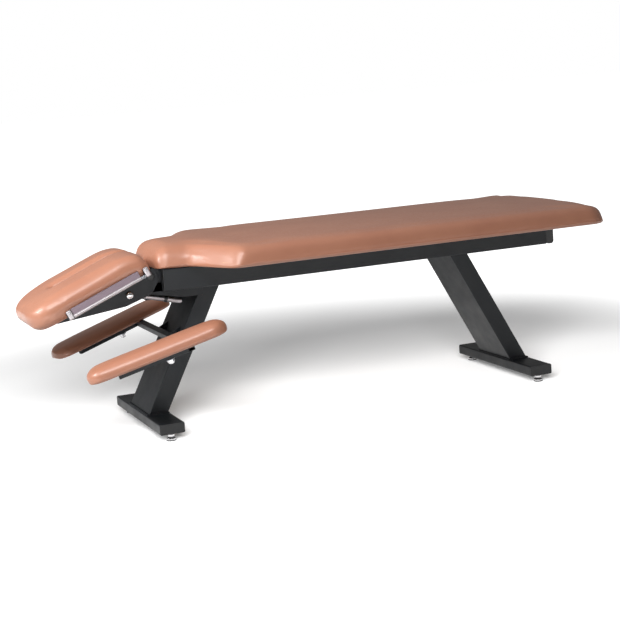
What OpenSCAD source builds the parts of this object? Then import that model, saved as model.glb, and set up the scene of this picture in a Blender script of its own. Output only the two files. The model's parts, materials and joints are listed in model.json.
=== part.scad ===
// Bench-style treatment table with a tilting, slotted headpiece and two low armrests.
// Millimetres, +Z up, head end towards -X, a face-down patient's left side towards -Y.
// The origin is the centre of the whole table's outline on the floor.

/* [Legs and feet] */
// Distance between the centres of the two feet, along the table
foot_span = 1165; // [1080:5:1260]
// How far the front foot stands ahead of the headpiece pivot
foot_ahead = 9; // [0:1:24]
// Lean of both legs from upright, degrees
leg_lean = 28; // [22:0.5:30]
// Width of a leg tube, across the table
leg_w = 202; // [150:1:208]
// Thickness of a leg tube
leg_t = 51; // [40:1:58]
// Wall of a leg tube
leg_wall = 4; // [2.5:0.5:6]
// Length of a foot tube, across the table
foot_l = 478; // [420:2:560]
// Width of a foot tube, along the table
foot_w = 72; // [64:1:90]
// Height of a foot tube
foot_h = 30; // [28:1:40]
// Wall of a foot tube
foot_wall = 3; // [2:0.5:4]
// Gap between a foot tube and the floor
foot_clear = 22; // [20:1:30]

/* [Top frame] */
// Height of the frame's top above the floor
frame_top = 469; // [440:1:520]
// Width of the frame over its rails
frame_w = 278; // [272:1:290]
// Height of a rail
rail_h = 65; // [60:1:75]
// Thickness of a rail
rail_w = 25; // [20:1:26]
// Wall of a rail and of the crossmembers
rail_wall = 3; // [2:0.5:4]
// Distance from the pivot back to the rails' front ends
rail_front = 31; // [30:1:40]
// Distance from the rear leg's top back to the rear end of the frame
frame_tail = 310; // [240:5:360]

/* [Body cushion] */
// Width of the body cushion
body_w = 636; // [560:2:680]
// Width of its narrow head end
neck_w = 274; // [262:1:290]
// Width of its neck where the shoulders begin
neck_root_w = 304; // [290:1:330]
// Height of its crown above the frame
body_h = 62; // [56:1:75]
// Gap from the pivot to the cushion's head end
body_front = 20; // [19:0.5:28]
// Overhang past the rear end of the frame
body_over = 92; // [60:2:120]
// Length of the straight neck ahead of the shoulders
neck_l = 75; // [50:1:90]
// Length of the curved shoulders
shoulder_l = 105; // [80:1:140]
// Corner radius of the foot end, seen from above
body_corner = 75; // [50:1:110]
// Corner radius of the neck, seen from above
neck_corner = 26; // [25:1:40]

/* [Headpiece] */
// Tilt of the headpiece below level as it stands, degrees
head_rest = 22.5; // [15:0.5:24]
// Highest tilt above level, degrees
head_up = 0; // [0:0.5:1]
// Lowest tilt below level, degrees
head_down = 27; // [25:0.5:28]
// Distance from the pivot to the head end of its cushion
head_reach = 355; // [340:1:380]
// Distance from the pivot to the body end of its cushion
head_tail = 8; // [4:1:12]
// Width of the head cushion
head_w = 295; // [284:1:298]
// Height of the head cushion
head_h = 74; // [68:1:78]
// Corner radius of its head end, seen from above
head_corner = 68; // [60:1:100]
// Width of the breathing slot
slot_w = 26; // [20:1:40]
// Distance from the pivot to the closed end of the slot
slot_reach = 246; // [215:1:255]
// Height of the headpiece board above the pivot axis
head_seat = 18; // [17.5:0.5:21]

/* [Armrests] */
// Distance from the table's centre plane to an armrest's pivot
arm_y = 262; // [255:1:290]
// Height of an armrest's carrier at its pivot
arm_z = 256; // [248:1:262]
// Slope of the armrests down towards the head end, degrees
arm_slope = 16.4; // [10:0.2:18]
// Toe-in of the armrests as they stand, degrees
arm_toe = 10.8; // [0:0.2:14]
// Length of an armrest pad
arm_l = 406; // [360:1:440]
// Width of an armrest pad
arm_w = 105; // [90:1:120]
// Thickness of an armrest pad
arm_h = 36; // [34:1:48]
// Distance from the pivot to the pad's foot end
arm_tail = 176; // [160:1:190]

/* [Hidden] */

// Colours
steel_black = [0.13, 0.14, 0.15];
vinyl_tan = [0.78, 0.50, 0.38];
plywood = [0.72, 0.58, 0.40];
bright = [0.80, 0.81, 0.83];
alloy = [0.70, 0.71, 0.73];
plastic = [0.07, 0.07, 0.08];
zinc = [0.62, 0.63, 0.64];

// Shared fits and finish
overrun = 20;        // how far a cut runs past the faces that it opens
run_fit = 0.05;      // radial clearance of a turning shaft
seat_fit = 0.02;     // radial clearance of a fixed pin in its hole
slide_gap = 0.3;     // side clearance between plates that move past each other
round_fn = 48;
arc_parts = 5;       // facets in a rounded plate corner
dome_rim_share = 1 / 3; // share of a dome's height that is its straight rim
dome_step = 15;      // angle between the points of a dome
edge_step = 22.5;    // angle between the points of a cushion's rounded edge
end_step = 11.25;    // angle between the stations of a cushion's rounded end

// Heights and places of the frame
foot_top = foot_clear + foot_h;
frame_low = frame_top - rail_h;
front_foot_x = -foot_ahead;
rear_foot_x = front_foot_x + foot_span;
leg_run = (frame_low - foot_top) * tan(leg_lean);
front_top_x = front_foot_x + leg_run;
rear_top_x = rear_foot_x - leg_run;
frame_end = rear_top_x + frame_tail;
rail_end = frame_end - rail_w;
rail_inner = frame_w / 2 - rail_w;
leg_half = leg_t / 2 / cos(leg_lean);
cross_half = leg_half + rail_wall;   // half the length of a crossmember along the table
tube_round = 4;      // outer corner radius of the foot and cross tubes
rail_round = 9;      // outer corner radius of the tube across the foot end
plug_t = 2.5;        // thickness of a plug's visible flange
plug_deep = 12;      // depth of a plug inside its tube
plug_fit = 0.2;      // gap between a plug and its tube
plug_hollow_r = 11.5; // hollow in a foot's plug, round the leveller's nut

// Levelling feet
stud_r = 5;
pad_r = 13.5;
pad_h = 8;
pad_cone_h = 3;
pad_neck_r = 7;
hex_af = 17;         // size of the leveller's flats across
hex_low = 12;
hex_h = 6;
stud_top_gap = 4.5;  // room above the stud inside the foot
weld_nut_h = 8;
leveller_in = 22;    // distance from a leveller's centre to the end of its foot
leveller_y = foot_l / 2 - leveller_in;

// Body cushion
body_end = frame_end + body_over;
edge_r = 27;         // radius of the body cushion's rounded upper edge
body_crown = 6;      // rise of its middle above its edge
draw_in = 6;         // how far its side is drawn in at the board
body_tail_run = 70;  // length over which its top falls towards the foot end
body_tail_drop = 30; // how far it falls there
body_lift_run = 24;  // length over which its underside rises at the foot end
body_lift = 12;
board_t = 15;
board_in = 14;       // how far a board stays inside its cushion
shoulder_parts = 10; // stations along the shoulders
round_share = 0.85;   // the most of a cushion's height that its rounding takes
side_up_shares = [0, 0.35, 0.8];     // heights of the points on a cushion's side
side_in_shares = [1, 0.25, 0];       // draw-in at those heights
top_out_shares = [0.72, 0.4, 0];     // places of the points across a cushion's top

// Tabs that hold the body board
tab_l = 44;
tab_t = 4;
tab_bolt_r = 4;
tab_head_r = 7;
tab_head_h = 4;
tab_bolt_in = 11;    // how far the bolt goes into the board
tab_in = 17;         // distance of the bolt from the rail
tab_shares = [0.5, 0.93];            // places of the other tabs along the rails

// Headpiece hinge and its lock
shaft_r = 8;
bush_wall = 2;
bush_flange = 1.5;
cheek_t = 6;
plate_t = 5;
cheek_in = rail_inner - cheek_t;             // inner face of a cheek plate
plate_in = rail_inner + bush_flange + slide_gap; // inner face of a headpiece side plate
plate_out = plate_in + plate_t;
cap_r = 11;
cap_h = 4;
lock_x = 78;         // distance of the lock bolt ahead of the pivot, headpiece level
lock_z = 17;         // distance of the lock bolt below the pivot, headpiece level
lock_r = 5;
lock_play = 0.4;     // gap each side of the lock bolt in the cheek plate's slot
lock_land = 4;       // metal outside the slot
lock_nut_r = 11;
lock_nut_h = 12;
lock_arm = norm([lock_x, lock_z]);
lock_level = 180 + atan2(lock_z, lock_x);    // its direction from the pivot, headpiece level
slot_past = 1.5;     // how far the slot goes on past the bolt's travel, degrees
slot_step = 2;       // angle between the points of the slot's long sides
slot_end_step = 30;  // angle between the points of its round ends
nose_step = 20;      // angle between the points of a cheek plate's nose
nose_ends = [80, 160]; // directions in which the nose begins and ends
cheek_gap = 1;       // room each side of a cheek plate in the headpiece board
cheek_past = 5;      // room ahead of a cheek plate there
cheek_run = 100;     // length of a cheek plate behind the pivot
cheek_nose_r = 14.5; // radius of the cheek plate round the pivot
pivot_drop = 18;     // depth of the pivot below the frame's top
nose_r = 21;         // radius of a side plate round the pivot
plate_tip = 292;     // distance from the pivot to the tip of a side plate
tip_h = 5;           // height of a side plate at its tip
taper_x = 100;       // where a side plate reaches its full depth
plate_depth = 46;    // its depth below the pivot
plate_tail = 20;     // distance from the pivot to its rear lower corner
plate_corner_r = 18;
tip_round = 1.6;
belly_r = 72;        // radius where its lower edge turns up to the tip
nose_cut = 5;
nose_low_r = 10.5;
nose_drop = 7;
nose_top_r = 5;
strap_t = 4;
strap_front_w = 32;
strap_rear_w = 44;
strap_front_x = 270; // distance from the pivot to the middle of the front strap
strap_rear_x = 120;  // distance from the pivot to the middle of the rear strap
strap_screw_r = 2.5;
strap_head_r = 5;
strap_head_h = 2.5;
strap_screw_in = 9;
strap_screw_y = 84;
head_board_in = 27;  // how far the board stays inside the cushion's head end
head_board_side = 10; // how far the board stays inside the cushion's sides
head_board_tail = 6; // how far the board stays inside the cushion's body end
head_crown = 4;
head_round = 36;     // radius of the head cushion's rounded sides
head_tip_run = 145;  // length over which its top falls towards the head end
head_tip_drop = 26;  // how far it falls there
head_lift_run = 30;  // length over which its underside rises at the head end
head_lift = 31;
head_end_run = 84;   // length over which its top falls towards the body end
head_end_drop = 44;
head_end_corner = 26;
head_trim = 0.3;     // cut off its end to leave a flat face
head_draw = 8;
dip_r = 19;          // how far the slot's rounded lips reach
dip_down = 16;       // how deep the lips fall
dip_run = 18;        // length over which the lips fade out past the slot's end
dip_shift = 2;       // keeps the cushion's stations clear of the points on the slot's round end
dip_start = -slot_reach - dip_run + dip_shift;
lip_shares = [1, 0.45, -0.1];        // places of the points on a lip, out from the slot
fall_shares = [0, 0.3, 1];           // how much of the fall each has
lip_room_shares = [0.8, 0.6, 0.4];   // the most of the half width that each may take

// Tilt lever
lever_turn = 12.3;   // how far the lever points below level at rest, degrees
lever_l = 160;
lever_r = 6;
hub_r = 12;
hub_w = 14;
grip_l = 48;
grip_r = 7.5;
collar_r = 9;
collar_w = 8;
grip_dome = 5;

// Paper clamps
clamp_y = 151.5;     // inner face of a clamp bar from the centre plane
clamp_t = 3;
clamp_h = 24;        // height of the strip above the rod
clamp_low = 3;       // how far the rod's axis is below the board
rod_r = 2.5;
sleeve_r = 5;
clamp_head_x = 262;  // distance from the pivot to the head end of the clamp
clamp_foot_x = 2;    // distance from the pivot to the body end of the clamp
bracket_w = 16;
bracket_t = 10;
bracket_up = 28;
bracket_low = 5;     // how far a bracket reaches below the rod's axis
bracket_foot_t = 4;
spring_l = 14;
spring_turns = 6;
spring_wire = 1;
clamp_end_gap = 0.4;

// Armrests
strut_s = 19;        // side of the square tube of the armrest carrier
strut_wall = 2;
strut_run = 61.5;    // distance from the armrests' pivots back to the strut, along the slope
strut_round = 2;
strut_inner_round = 0.5;
bar_reach = 148;     // length of a carrier arm ahead of the armrest's pivot
lug_t = 10;          // thickness of the lugs between the front leg and the strut
lug_y = 62;          // distance of the lugs from the centre plane
lug_low = 14;        // how far the lugs reach down the leg below the strut's middle
lug_high = 26;       // how far they reach up
arm_lift = 1;        // height of the armrest boards above the carrier
arm_board_t = 10;
arm_board_in = 13;
arm_round = 24;
arm_tip_run = 40;    // length over which a pad's top falls towards its ends
arm_tip_drop = 19;   // how far it falls there
arm_lift_run = 14;   // length over which its underside rises there
arm_rise = 6;
arm_corner = 46;
arm_crown = 3;
arm_draw = 4;
arm_bolt_r = 5;
washer_r = 12;
washer_t = 2;
nut_af = 18;
nut_h = 6;
dome_r = 8.5;
dome_h = 7;

// Outline helpers

// Points of the arc that rounds corner b, between a and c, with radius r
function corner_arc(a, b, c, r) =
    r <= 0 ? [b] :
    let (u = (a - b) / norm(a - b),
         v = (c - b) / norm(c - b),
         half = acos(u * v) / 2,
         mid = b + (u + v) / norm(u + v) * r / sin(half),
         p = (b + u * r / tan(half) - mid),
         q = (b + v * r / tan(half) - mid),
         turn = 180 - half * 2)
    [for (k = [0:arc_parts])
        mid + (p * sin(turn - k / arc_parts * turn) + q * sin(k / arc_parts * turn)) / sin(turn)];

// Outline with every corner [x, y, radius] rounded
function rounded(list) =
    let (n = len(list), p = [for (c = list) [c[0], c[1]]])
    [for (i = [0:n - 1]) each corner_arc(p[(i + n - 1) % n], p[i], p[(i + 1) % n], list[i][2])];

function box_outline(w, h, r) =
    rounded([[-w / 2, -h / 2, r], [w / 2, -h / 2, r], [w / 2, h / 2, r], [-w / 2, h / 2, r]]);

// Side view outline [x, z], given its thickness across the table
module side_plate_shape(points, width) {
    rotate([90, 0, 0])
        linear_extrude(height = width, center = true)
            polygon(points);
}

// Cylinder along the table's width
module cross_rod(r, l) {
    rotate([90, 0, 0])
        cylinder(h = l, r = r, center = true, $fn = round_fn);
}

// Tube along the table's width, with its section given as an outline
module cross_tube(w, h, wall, l, r) {
    rotate([90, 0, 0])
        linear_extrude(height = l, center = true)
            difference() {
                polygon(box_outline(w, h, r));
                square([w - wall * 2, h - wall * 2], center = true);
            }
}

module hexagon(af, h) {
    cylinder(h = h, r = af / 2 / cos(30), $fn = 6);
}

// The table stands with the middle of its outline at the origin
module placed() {
    translate([-middle_x, 0, 0])
        children();
}

// The headpiece's own frame: origin on the pivot, turned to its tilt at rest
module tilted() {
    placed()
        translate([0, 0, pivot_z])
            rotate([0, -head_rest, 0])
                children();
}

// Frame of the armrest carrier: origin between the armrests' pivots, on the carrier's top
module carried() {
    placed()
        translate([front_foot_x, 0, arm_z])
            rotate([0, -arm_slope, 0])
                children();
}

// An armrest's own frame: origin on its pivot; side is -1 for left, 1 for right
module sloped(side) {
    carried()
        translate([0, side * arm_y, 0])
            rotate([0, 0, side * arm_toe])
                children();
}

// Cushion forms

// Fall of a quarter round of radius r, at distance d in from its edge
function round_fall(r, d) = d >= r ? 0 : r - sqrt(r * r - (r - d) * (r - d));
// The same for a quarter of an ellipse, so long and so deep
function long_fall(long, deep, d) = round_fall(long, d) * deep / long;

// Distances in from a rounded end of radius r
function end_places(r) = [for (a = [0:end_step:90]) r - r * cos(a)];

// Half section of a plain cushion, from its lower edge over to the middle
function half_section(w, low, top, r, crown, draw) =
    concat(
        [for (i = [0:len(side_up_shares) - 1])
            [w - draw * side_in_shares[i], low + (top - r - low) * side_up_shares[i]]],
        [for (a = [0:edge_step:90]) [w - r + r * cos(a), top - r + r * sin(a)]],
        [for (s = top_out_shares) [(w - r) * s, top + crown * (1 - s * s)]]);

// Whole section from right to left; the middle point is used once
function whole_section(half) =
    let (n = len(half))
    concat(half, [for (i = [n - 2:-1:0]) [-half[i][0], half[i][1]]]);

// Whole section of a cushion whose middle is a slot: no point on the centre plane
function split_section(half) =
    let (n = len(half))
    concat(half, [for (i = [n - 1:-1:0]) [-half[i][0], half[i][1]]]);

// Solid through sections of equally many points at places along x
module loft(places, sections) {
    n = len(sections[0]);
    m = len(places);
    points = [for (i = [0:m - 1]) for (p = sections[i]) [places[i], p[0], p[1]]];
    sides = [for (i = [0:m - 2]) for (j = [0:n - 1])
        let (a = i * n + j, b = i * n + (j + 1) % n)
        each [[a, b + n, b], [a, a + n, b + n]]];
    first = [for (j = [0:n - 1]) j];
    last = [for (j = [n - 1:-1:0]) (m - 1) * n + j];
    polyhedron(points = points, faces = concat(sides, [first, last]), convexity = 6);
}

// Body cushion, from above: half its width at place x
function shoulder_share(x) =
    let (t = min(1, max(0, (x - body_front - neck_l) / shoulder_l)))
    t * t * (3 - t * 2);
function body_half(x) =
    neck_w / 2 + (neck_root_w - neck_w) / 2 * min(1, (x - body_front) / neck_l)
    + (body_w - neck_root_w) / 2 * shoulder_share(x)
    - round_fall(neck_corner, x - body_front) - round_fall(body_corner, body_end - x);
body_places = concat(
    [for (d = end_places(neck_corner)) body_front + d],
    [for (k = [0:shoulder_parts]) body_front + neck_l + shoulder_l * k / shoulder_parts],
    [for (k = [1:3]) body_front + neck_l + shoulder_l
        + (body_end - body_corner - body_front - neck_l - shoulder_l) * k / 4],
    [for (d = end_places(body_corner)) body_end - d]);
body_order = sorted(body_places);
function end_crown(x, low, high, run) = sqrt(min(1, min(x - low, high - x) / run));
function body_top(x) =
    body_h - body_crown - round_fall(edge_r, x - body_front)
    - long_fall(body_tail_run, body_tail_drop, body_end - x);
function body_section(x) =
    whole_section(half_section(
        body_half(x),
        long_fall(body_lift_run, body_lift, body_end - x),
        body_top(x),
        min(edge_r, body_top(x) * round_share - long_fall(body_lift_run, body_lift, body_end - x)),
        body_crown * end_crown(x, body_front, body_end, neck_l),
        draw_in));

// Numbers put in rising order
function sorted(list) =
    len(list) <= 1 ? list :
    let (pivot = list[floor(len(list) / 2)],
         low = [for (v = list) if (v < pivot) v],
         high = [for (v = list) if (v > pivot) v])
    concat(sorted(low), [pivot], sorted(high));

// Head cushion, in its own frame
head_low = head_seat;
function head_half(x) =
    head_w / 2 - round_fall(head_corner, x + head_reach) - round_fall(head_end_corner, head_tail - x);
head_places = sorted(concat(
    [for (d = end_places(head_tip_run)) d - head_reach],
    [for (k = [0:4]) dip_start + dip_run * k / 2],
    [for (k = [1:3]) -slot_reach + dip_run + (slot_reach - dip_run + head_tail - head_end_run) * k / 4],
    [for (d = end_places(head_end_run)) head_tail - d],
    [head_tail - head_end_corner / 2]));
function dip_share(x) = min(1, max(0, (x - dip_start) / dip_run));
function head_section(x) =
    let (w = head_half(x),
         top = head_h - head_crown
             - long_fall(head_tip_run, head_tip_drop, x + head_reach)
             - long_fall(head_end_run, head_end_drop, head_tail - x),
         low = long_fall(head_lift_run, head_lift, x + head_reach),
         r = min(head_round, (top - low) * round_share),
         inner = w - r,
         crown = head_crown * end_crown(x, -head_reach, head_tail, head_round),
         whole = half_section(w, low, top, r, crown, head_draw),
         side = [for (p = whole) if (p[0] > inner * lip_room_shares[0]) p],
         lips = [for (i = [0:len(lip_shares) - 1])
             let (y = min(slot_w / 2 + dip_r * lip_shares[i], inner * lip_room_shares[i]))
             [y, top + crown * (1 - y * y / inner / inner) - dip_down * fall_shares[i] * dip_share(x)]])
    split_section(concat(side, lips));

// Armrest pad, in its own frame
function arm_half(x) = arm_w / 2 - round_fall(arm_corner, min(x + arm_l - arm_tail, arm_tail - x));
arm_places = sorted(concat(
    [for (d = end_places(arm_corner)) each [d - arm_l + arm_tail, arm_tail - d]],
    [for (k = [-1:1]) (arm_tail * 2 - arm_l) / 2 + arm_l * k / 6]));
function arm_top(x) =
    arm_h - arm_crown - long_fall(arm_tip_run, arm_tip_drop, min(x + arm_l - arm_tail, arm_tail - x));
function arm_low(x) = long_fall(arm_lift_run, arm_rise, min(x + arm_l - arm_tail, arm_tail - x));
function arm_section(x) =
    whole_section(half_section(
        arm_half(x),
        arm_low(x),
        arm_top(x),
        min(arm_round, min(arm_half(x), arm_top(x) - arm_low(x)) * round_share),
        arm_crown * end_crown(x, arm_tail - arm_l, arm_tail, arm_corner),
        arm_draw));

// Place of the pivot and of the whole table's middle
pivot_z = frame_top - pivot_drop;
tip_x = min([for (x = head_places) for (p = head_section(x))
    x * cos(head_rest) - (p[1] + head_low) * sin(head_rest)]);
middle_x = (tip_x + body_end) / 2;

// Top frame

module rail(side) {
    color(steel_black)
        placed()
            translate([rail_front + plug_t, side * (frame_w - rail_w) / 2, frame_low + rail_h / 2])
                rotate([90, 0, 90])
                    linear_extrude(height = rail_end - rail_front - plug_t)
                        difference() {
                            polygon(box_outline(rail_w, rail_h, tube_round));
                            square([rail_w - rail_wall * 2, rail_h - rail_wall * 2], center = true);
                        }
}
module left_rail() {
    rail(-1);
}
module right_rail() {
    rail(1);
}

// Short tube between the cheek plates at the head end
module head_end_tube() {
    color(steel_black)
        placed()
            translate([rail_front + rail_w / 2, 0, frame_low + rail_h / 2])
                cross_tube(rail_w, rail_h, rail_wall, cheek_in * 2, tube_round);
}

// Tube that closes the foot end, over the ends of both rails
module foot_end_tube() {
    color(steel_black)
        placed()
            translate([frame_end - rail_w / 2, 0, frame_low + rail_h / 2])
                cross_tube(rail_w, rail_h, rail_wall, frame_w - plug_t * 2, rail_round);
}

// Plug for a rectangular tube: flange at z 0 to plug_t, spigot below it
module tube_plug(w, h, wall, r) {
    linear_extrude(height = plug_t)
        polygon(box_outline(w, h, r));
    translate([0, 0, -plug_deep])
        linear_extrude(height = plug_deep)
            square([w - wall * 2 - plug_fit * 2, h - wall * 2 - plug_fit * 2], center = true);
}

module frame_plugs() {
    color(plastic)
        placed()
            for (side = [-1, 1]) {
                translate([rail_front + plug_t, side * (frame_w - rail_w) / 2, frame_low + rail_h / 2])
                    rotate([90, 0, -90])
                        tube_plug(rail_w, rail_h, rail_wall, tube_round);
                translate([frame_end - rail_w / 2, side * (frame_w / 2 - plug_t), frame_low + rail_h / 2])
                    rotate([side * -90, 0, 0])
                        tube_plug(rail_w, rail_h, rail_wall, rail_round);
            }
}

module crossmember(x) {
    color(steel_black)
        placed()
            translate([x, 0, frame_low + rail_h / 2])
                cross_tube(cross_half * 2, rail_h, rail_wall, rail_inner * 2, tube_round);
}
module front_crossmember() {
    crossmember(front_top_x);
}
module rear_crossmember() {
    crossmember(rear_top_x);
}

// Legs: slanted rectangular tubes, cut level at both ends

function leg_outline(bottom_x, top_x, half) =
    [[bottom_x - half, foot_top], [bottom_x + half, foot_top],
     [top_x + half, frame_low], [top_x - half, frame_low]];
// The bore is the same slant carried on past both ends
function leg_bore(bottom_x, top_x, half) =
    let (run = (top_x - bottom_x) / (frame_low - foot_top) * overrun)
    [[bottom_x - run - half, foot_top - overrun], [bottom_x - run + half, foot_top - overrun],
     [top_x + run + half, frame_low + overrun], [top_x + run - half, frame_low + overrun]];

module leg(bottom_x, top_x) {
    color(steel_black)
        placed()
            difference() {
                side_plate_shape(leg_outline(bottom_x, top_x, leg_half), leg_w);
                side_plate_shape(leg_bore(bottom_x, top_x, leg_half - leg_wall / cos(leg_lean)),
                    leg_w - leg_wall * 2);
            }
}
module front_leg() {
    leg(front_foot_x, front_top_x);
}
module rear_leg() {
    leg(rear_foot_x, rear_top_x);
}

module foot(x) {
    color(steel_black)
        placed()
            difference() {
                translate([x, 0, foot_clear + foot_h / 2])
                    cross_tube(foot_w, foot_h, foot_wall, foot_l - plug_t * 2, tube_round);
                for (side = [-1, 1])
                    translate([x, side * leveller_y, foot_clear - overrun])
                        cylinder(h = overrun + foot_wall + overrun / 2, r = stud_r + run_fit, $fn = round_fn);
            }
}
module front_foot() {
    foot(front_foot_x);
}
module rear_foot() {
    foot(rear_foot_x);
}

module foot_plugs() {
    color(plastic)
        placed()
            for (x = [front_foot_x, rear_foot_x], side = [-1, 1])
                translate([x, side * (foot_l / 2 - plug_t), foot_clear + foot_h / 2])
                    rotate([side * -90, 0, 0])
                        difference() {
                            tube_plug(foot_w, foot_h, foot_wall, tube_round);
                            translate([0, 0, -leveller_in + plug_t])
                                rotate([90, 0, 0])
                                    cylinder(h = foot_h + overrun, r = plug_hollow_r, center = true,
                                        $fn = round_fn);
                        }
}

// Nuts welded inside the feet, over the bottom wall
module leveller_nuts() {
    color(zinc)
        placed()
            for (x = [front_foot_x, rear_foot_x], side = [-1, 1])
                translate([x, side * leveller_y, foot_clear + foot_wall])
                    difference() {
                        hexagon(hex_af, weld_nut_h);
                        translate([0, 0, -overrun])
                            cylinder(h = overrun * 2, r = stud_r + run_fit, $fn = round_fn);
                    }
}

// Levelling foot: pad, cone, flats for a spanner, stud
module leveller(x, side) {
    color(bright)
        placed()
            translate([x, side * leveller_y, 0]) {
                cylinder(h = pad_h, r = pad_r, $fn = round_fn);
                translate([0, 0, pad_h])
                    cylinder(h = pad_cone_h, r1 = pad_r, r2 = pad_neck_r, $fn = round_fn);
                cylinder(h = foot_top - foot_wall - stud_top_gap, r = stud_r, $fn = round_fn);
                translate([0, 0, hex_low])
                    hexagon(hex_af, hex_h);
            }
}
module leveller_front_left() {
    leveller(front_foot_x, -1);
}
module leveller_front_right() {
    leveller(front_foot_x, 1);
}
module leveller_rear_left() {
    leveller(rear_foot_x, -1);
}
module leveller_rear_right() {
    leveller(rear_foot_x, 1);
}

// Body cushion and what holds it

// The first pair sits halfway between the cheek plates' ends and the front crossmember
tab_xs = concat([(cheek_run + front_top_x - cross_half) / 2],
    [for (share = tab_shares) rail_front + (rail_end - rail_front) * share]);
tab_y = rail_inner - tab_in;

module tab_places() {
    for (x = tab_xs, side = [-1, 1])
        translate([x, side * tab_y, 0])
            children();
}

module cushion_tabs() {
    color(steel_black)
        placed()
            tab_places()
                difference() {
                    translate([0, 0, frame_top - tab_t / 2])
                        cube([tab_l, tab_in * 2, tab_t], center = true);
                    translate([0, 0, frame_top - overrun])
                        cylinder(h = overrun * 2, r = tab_bolt_r + seat_fit, $fn = round_fn);
                }
}

module cushion_bolts() {
    color(zinc)
        placed()
            tab_places() {
                translate([0, 0, frame_top - tab_t - tab_head_h])
                    cylinder(h = tab_head_h, r = tab_head_r, $fn = round_fn);
                translate([0, 0, frame_top - tab_t - tab_head_h / 2])
                    cylinder(h = tab_t + tab_head_h / 2 + tab_bolt_in, r = tab_bolt_r, $fn = round_fn);
            }
}

function mirrored_outline(places, halves) =
    let (n = len(places))
    concat([for (i = [0:n - 1]) [places[i], -halves[i]]], [for (i = [n - 1:-1:0]) [places[i], halves[i]]]);

board_places = [for (x = body_order) if (x > body_front + board_in && x < body_end - board_in) x];
board_outline = mirrored_outline(board_places, [for (x = board_places) body_half(x) - board_in]);

module body_board() {
    color(plywood)
        placed()
            difference() {
                translate([0, 0, frame_top])
                    linear_extrude(height = board_t)
                        polygon(board_outline);
                tab_places()
                    translate([0, 0, frame_top - overrun])
                        cylinder(h = overrun + tab_bolt_in, r = tab_bolt_r + seat_fit, $fn = round_fn);
            }
}

module body_cushion() {
    color(vinyl_tan)
        placed()
            translate([0, 0, frame_top])
                difference() {
                    loft(body_order, [for (x = body_order) body_section(x)]);
                    translate([0, 0, -overrun])
                        linear_extrude(height = overrun + board_t)
                            polygon(board_outline);
                }
}

// Headpiece hinge: fixed cheek plates with the arc slot of the tilt lock

function polar(r, a) = [r * cos(a), r * sin(a)];
slot_low = lock_level + head_down + slot_past;
slot_high = lock_level - head_up - slot_past;
slot_half = lock_r + lock_play;
cheek_round = lock_arm + slot_half + lock_land;

// Arc slot as one outline: outer side, round end, inner side, round end
slot_outline = concat(
    [for (a = [slot_high:slot_step:slot_low]) polar(lock_arm + slot_half, a)],
    [for (a = [0:slot_end_step:180]) polar(lock_arm, slot_low) + polar(slot_half, slot_low + a)],
    [for (a = [slot_low:-slot_step:slot_high]) polar(lock_arm - slot_half, a)],
    [for (a = [0:slot_end_step:180]) polar(lock_arm, slot_high) + polar(slot_half, slot_high + 180 + a)]);

// Side view of a cheek plate, from the pivot: its head end follows the slot all round
cheek_low = frame_low - pivot_z;
land_half = slot_half + lock_land;
cheek_outline = concat(
    [for (a = [slot_high:slot_step:slot_low]) polar(cheek_round, a)],
    [for (a = [0:slot_end_step:90]) polar(lock_arm, slot_low) + polar(land_half, slot_low + a)],
    [[-cheek_nose_r, cheek_low], [cheek_run, cheek_low], [cheek_run, pivot_drop],
     [rail_front, pivot_drop]],
    [for (a = [nose_ends[0]:nose_step:nose_ends[1]]) polar(cheek_nose_r, a)],
    [for (a = [-90:slot_end_step:0]) polar(lock_arm, slot_high) + polar(land_half, slot_high + a)]);

module cheek(side) {
    color(steel_black)
        placed()
            translate([0, side * (cheek_in + cheek_t / 2), pivot_z])
                difference() {
                    side_plate_shape(cheek_outline, cheek_t);
                    side_plate_shape(slot_outline, cheek_t + overrun);
                    cross_rod(shaft_r + run_fit + bush_wall + seat_fit, cheek_t + overrun);
                }
}
module left_cheek_plate() {
    cheek(-1);
}
module right_cheek_plate() {
    cheek(1);
}

// Flanged bushes pressed into the cheek plates, flange outside
module pivot_bushes() {
    color(bright)
        placed()
            for (side = [-1, 1])
                translate([0, side * (cheek_in + cheek_t / 2), pivot_z])
                    difference() {
                        union() {
                            cross_rod(shaft_r + run_fit + bush_wall, cheek_t);
                            translate([0, side * (cheek_t + bush_flange) / 2, 0])
                                cross_rod(shaft_r + run_fit + bush_wall * 2, bush_flange);
                        }
                        cross_rod(shaft_r + run_fit, cheek_t + overrun);
                    }
}

module pivot_shaft() {
    color(zinc)
        placed()
            translate([0, 0, pivot_z])
                cross_rod(shaft_r, plate_out * 2);
}

// Domed caps that hold the shaft in the side plates
module pivot_caps() {
    color(plastic)
        placed()
            for (side = [-1, 1])
                translate([0, side * plate_out, pivot_z])
                    rotate([side * -90, 0, 0])
                        dome_cap(cap_r, cap_h);
}

// Low dome on a flat base, as a turned profile
module dome_cap(r, h) {
    rim = h * dome_rim_share;
    rotate_extrude($fn = round_fn)
        polygon(concat([[0, 0], [r, 0]],
            [for (a = [0:dome_step:90]) [r * cos(a), rim + (h - rim) * sin(a)]]));
}

// Tapered side plate of the headpiece, from the pivot, headpiece level
side_outline = rounded([
    [-plate_tip, head_seat, 0],
    [-plate_tip, head_seat - tip_h, tip_round],
    [-taper_x, -plate_depth + tip_h, belly_r],
    [-plate_tail, -plate_depth, plate_corner_r],
    [nose_r - nose_cut, -nose_r, nose_low_r],
    [nose_r, head_seat - nose_drop, nose_top_r],
    [nose_r - nose_cut, head_seat, 0]]);

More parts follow.
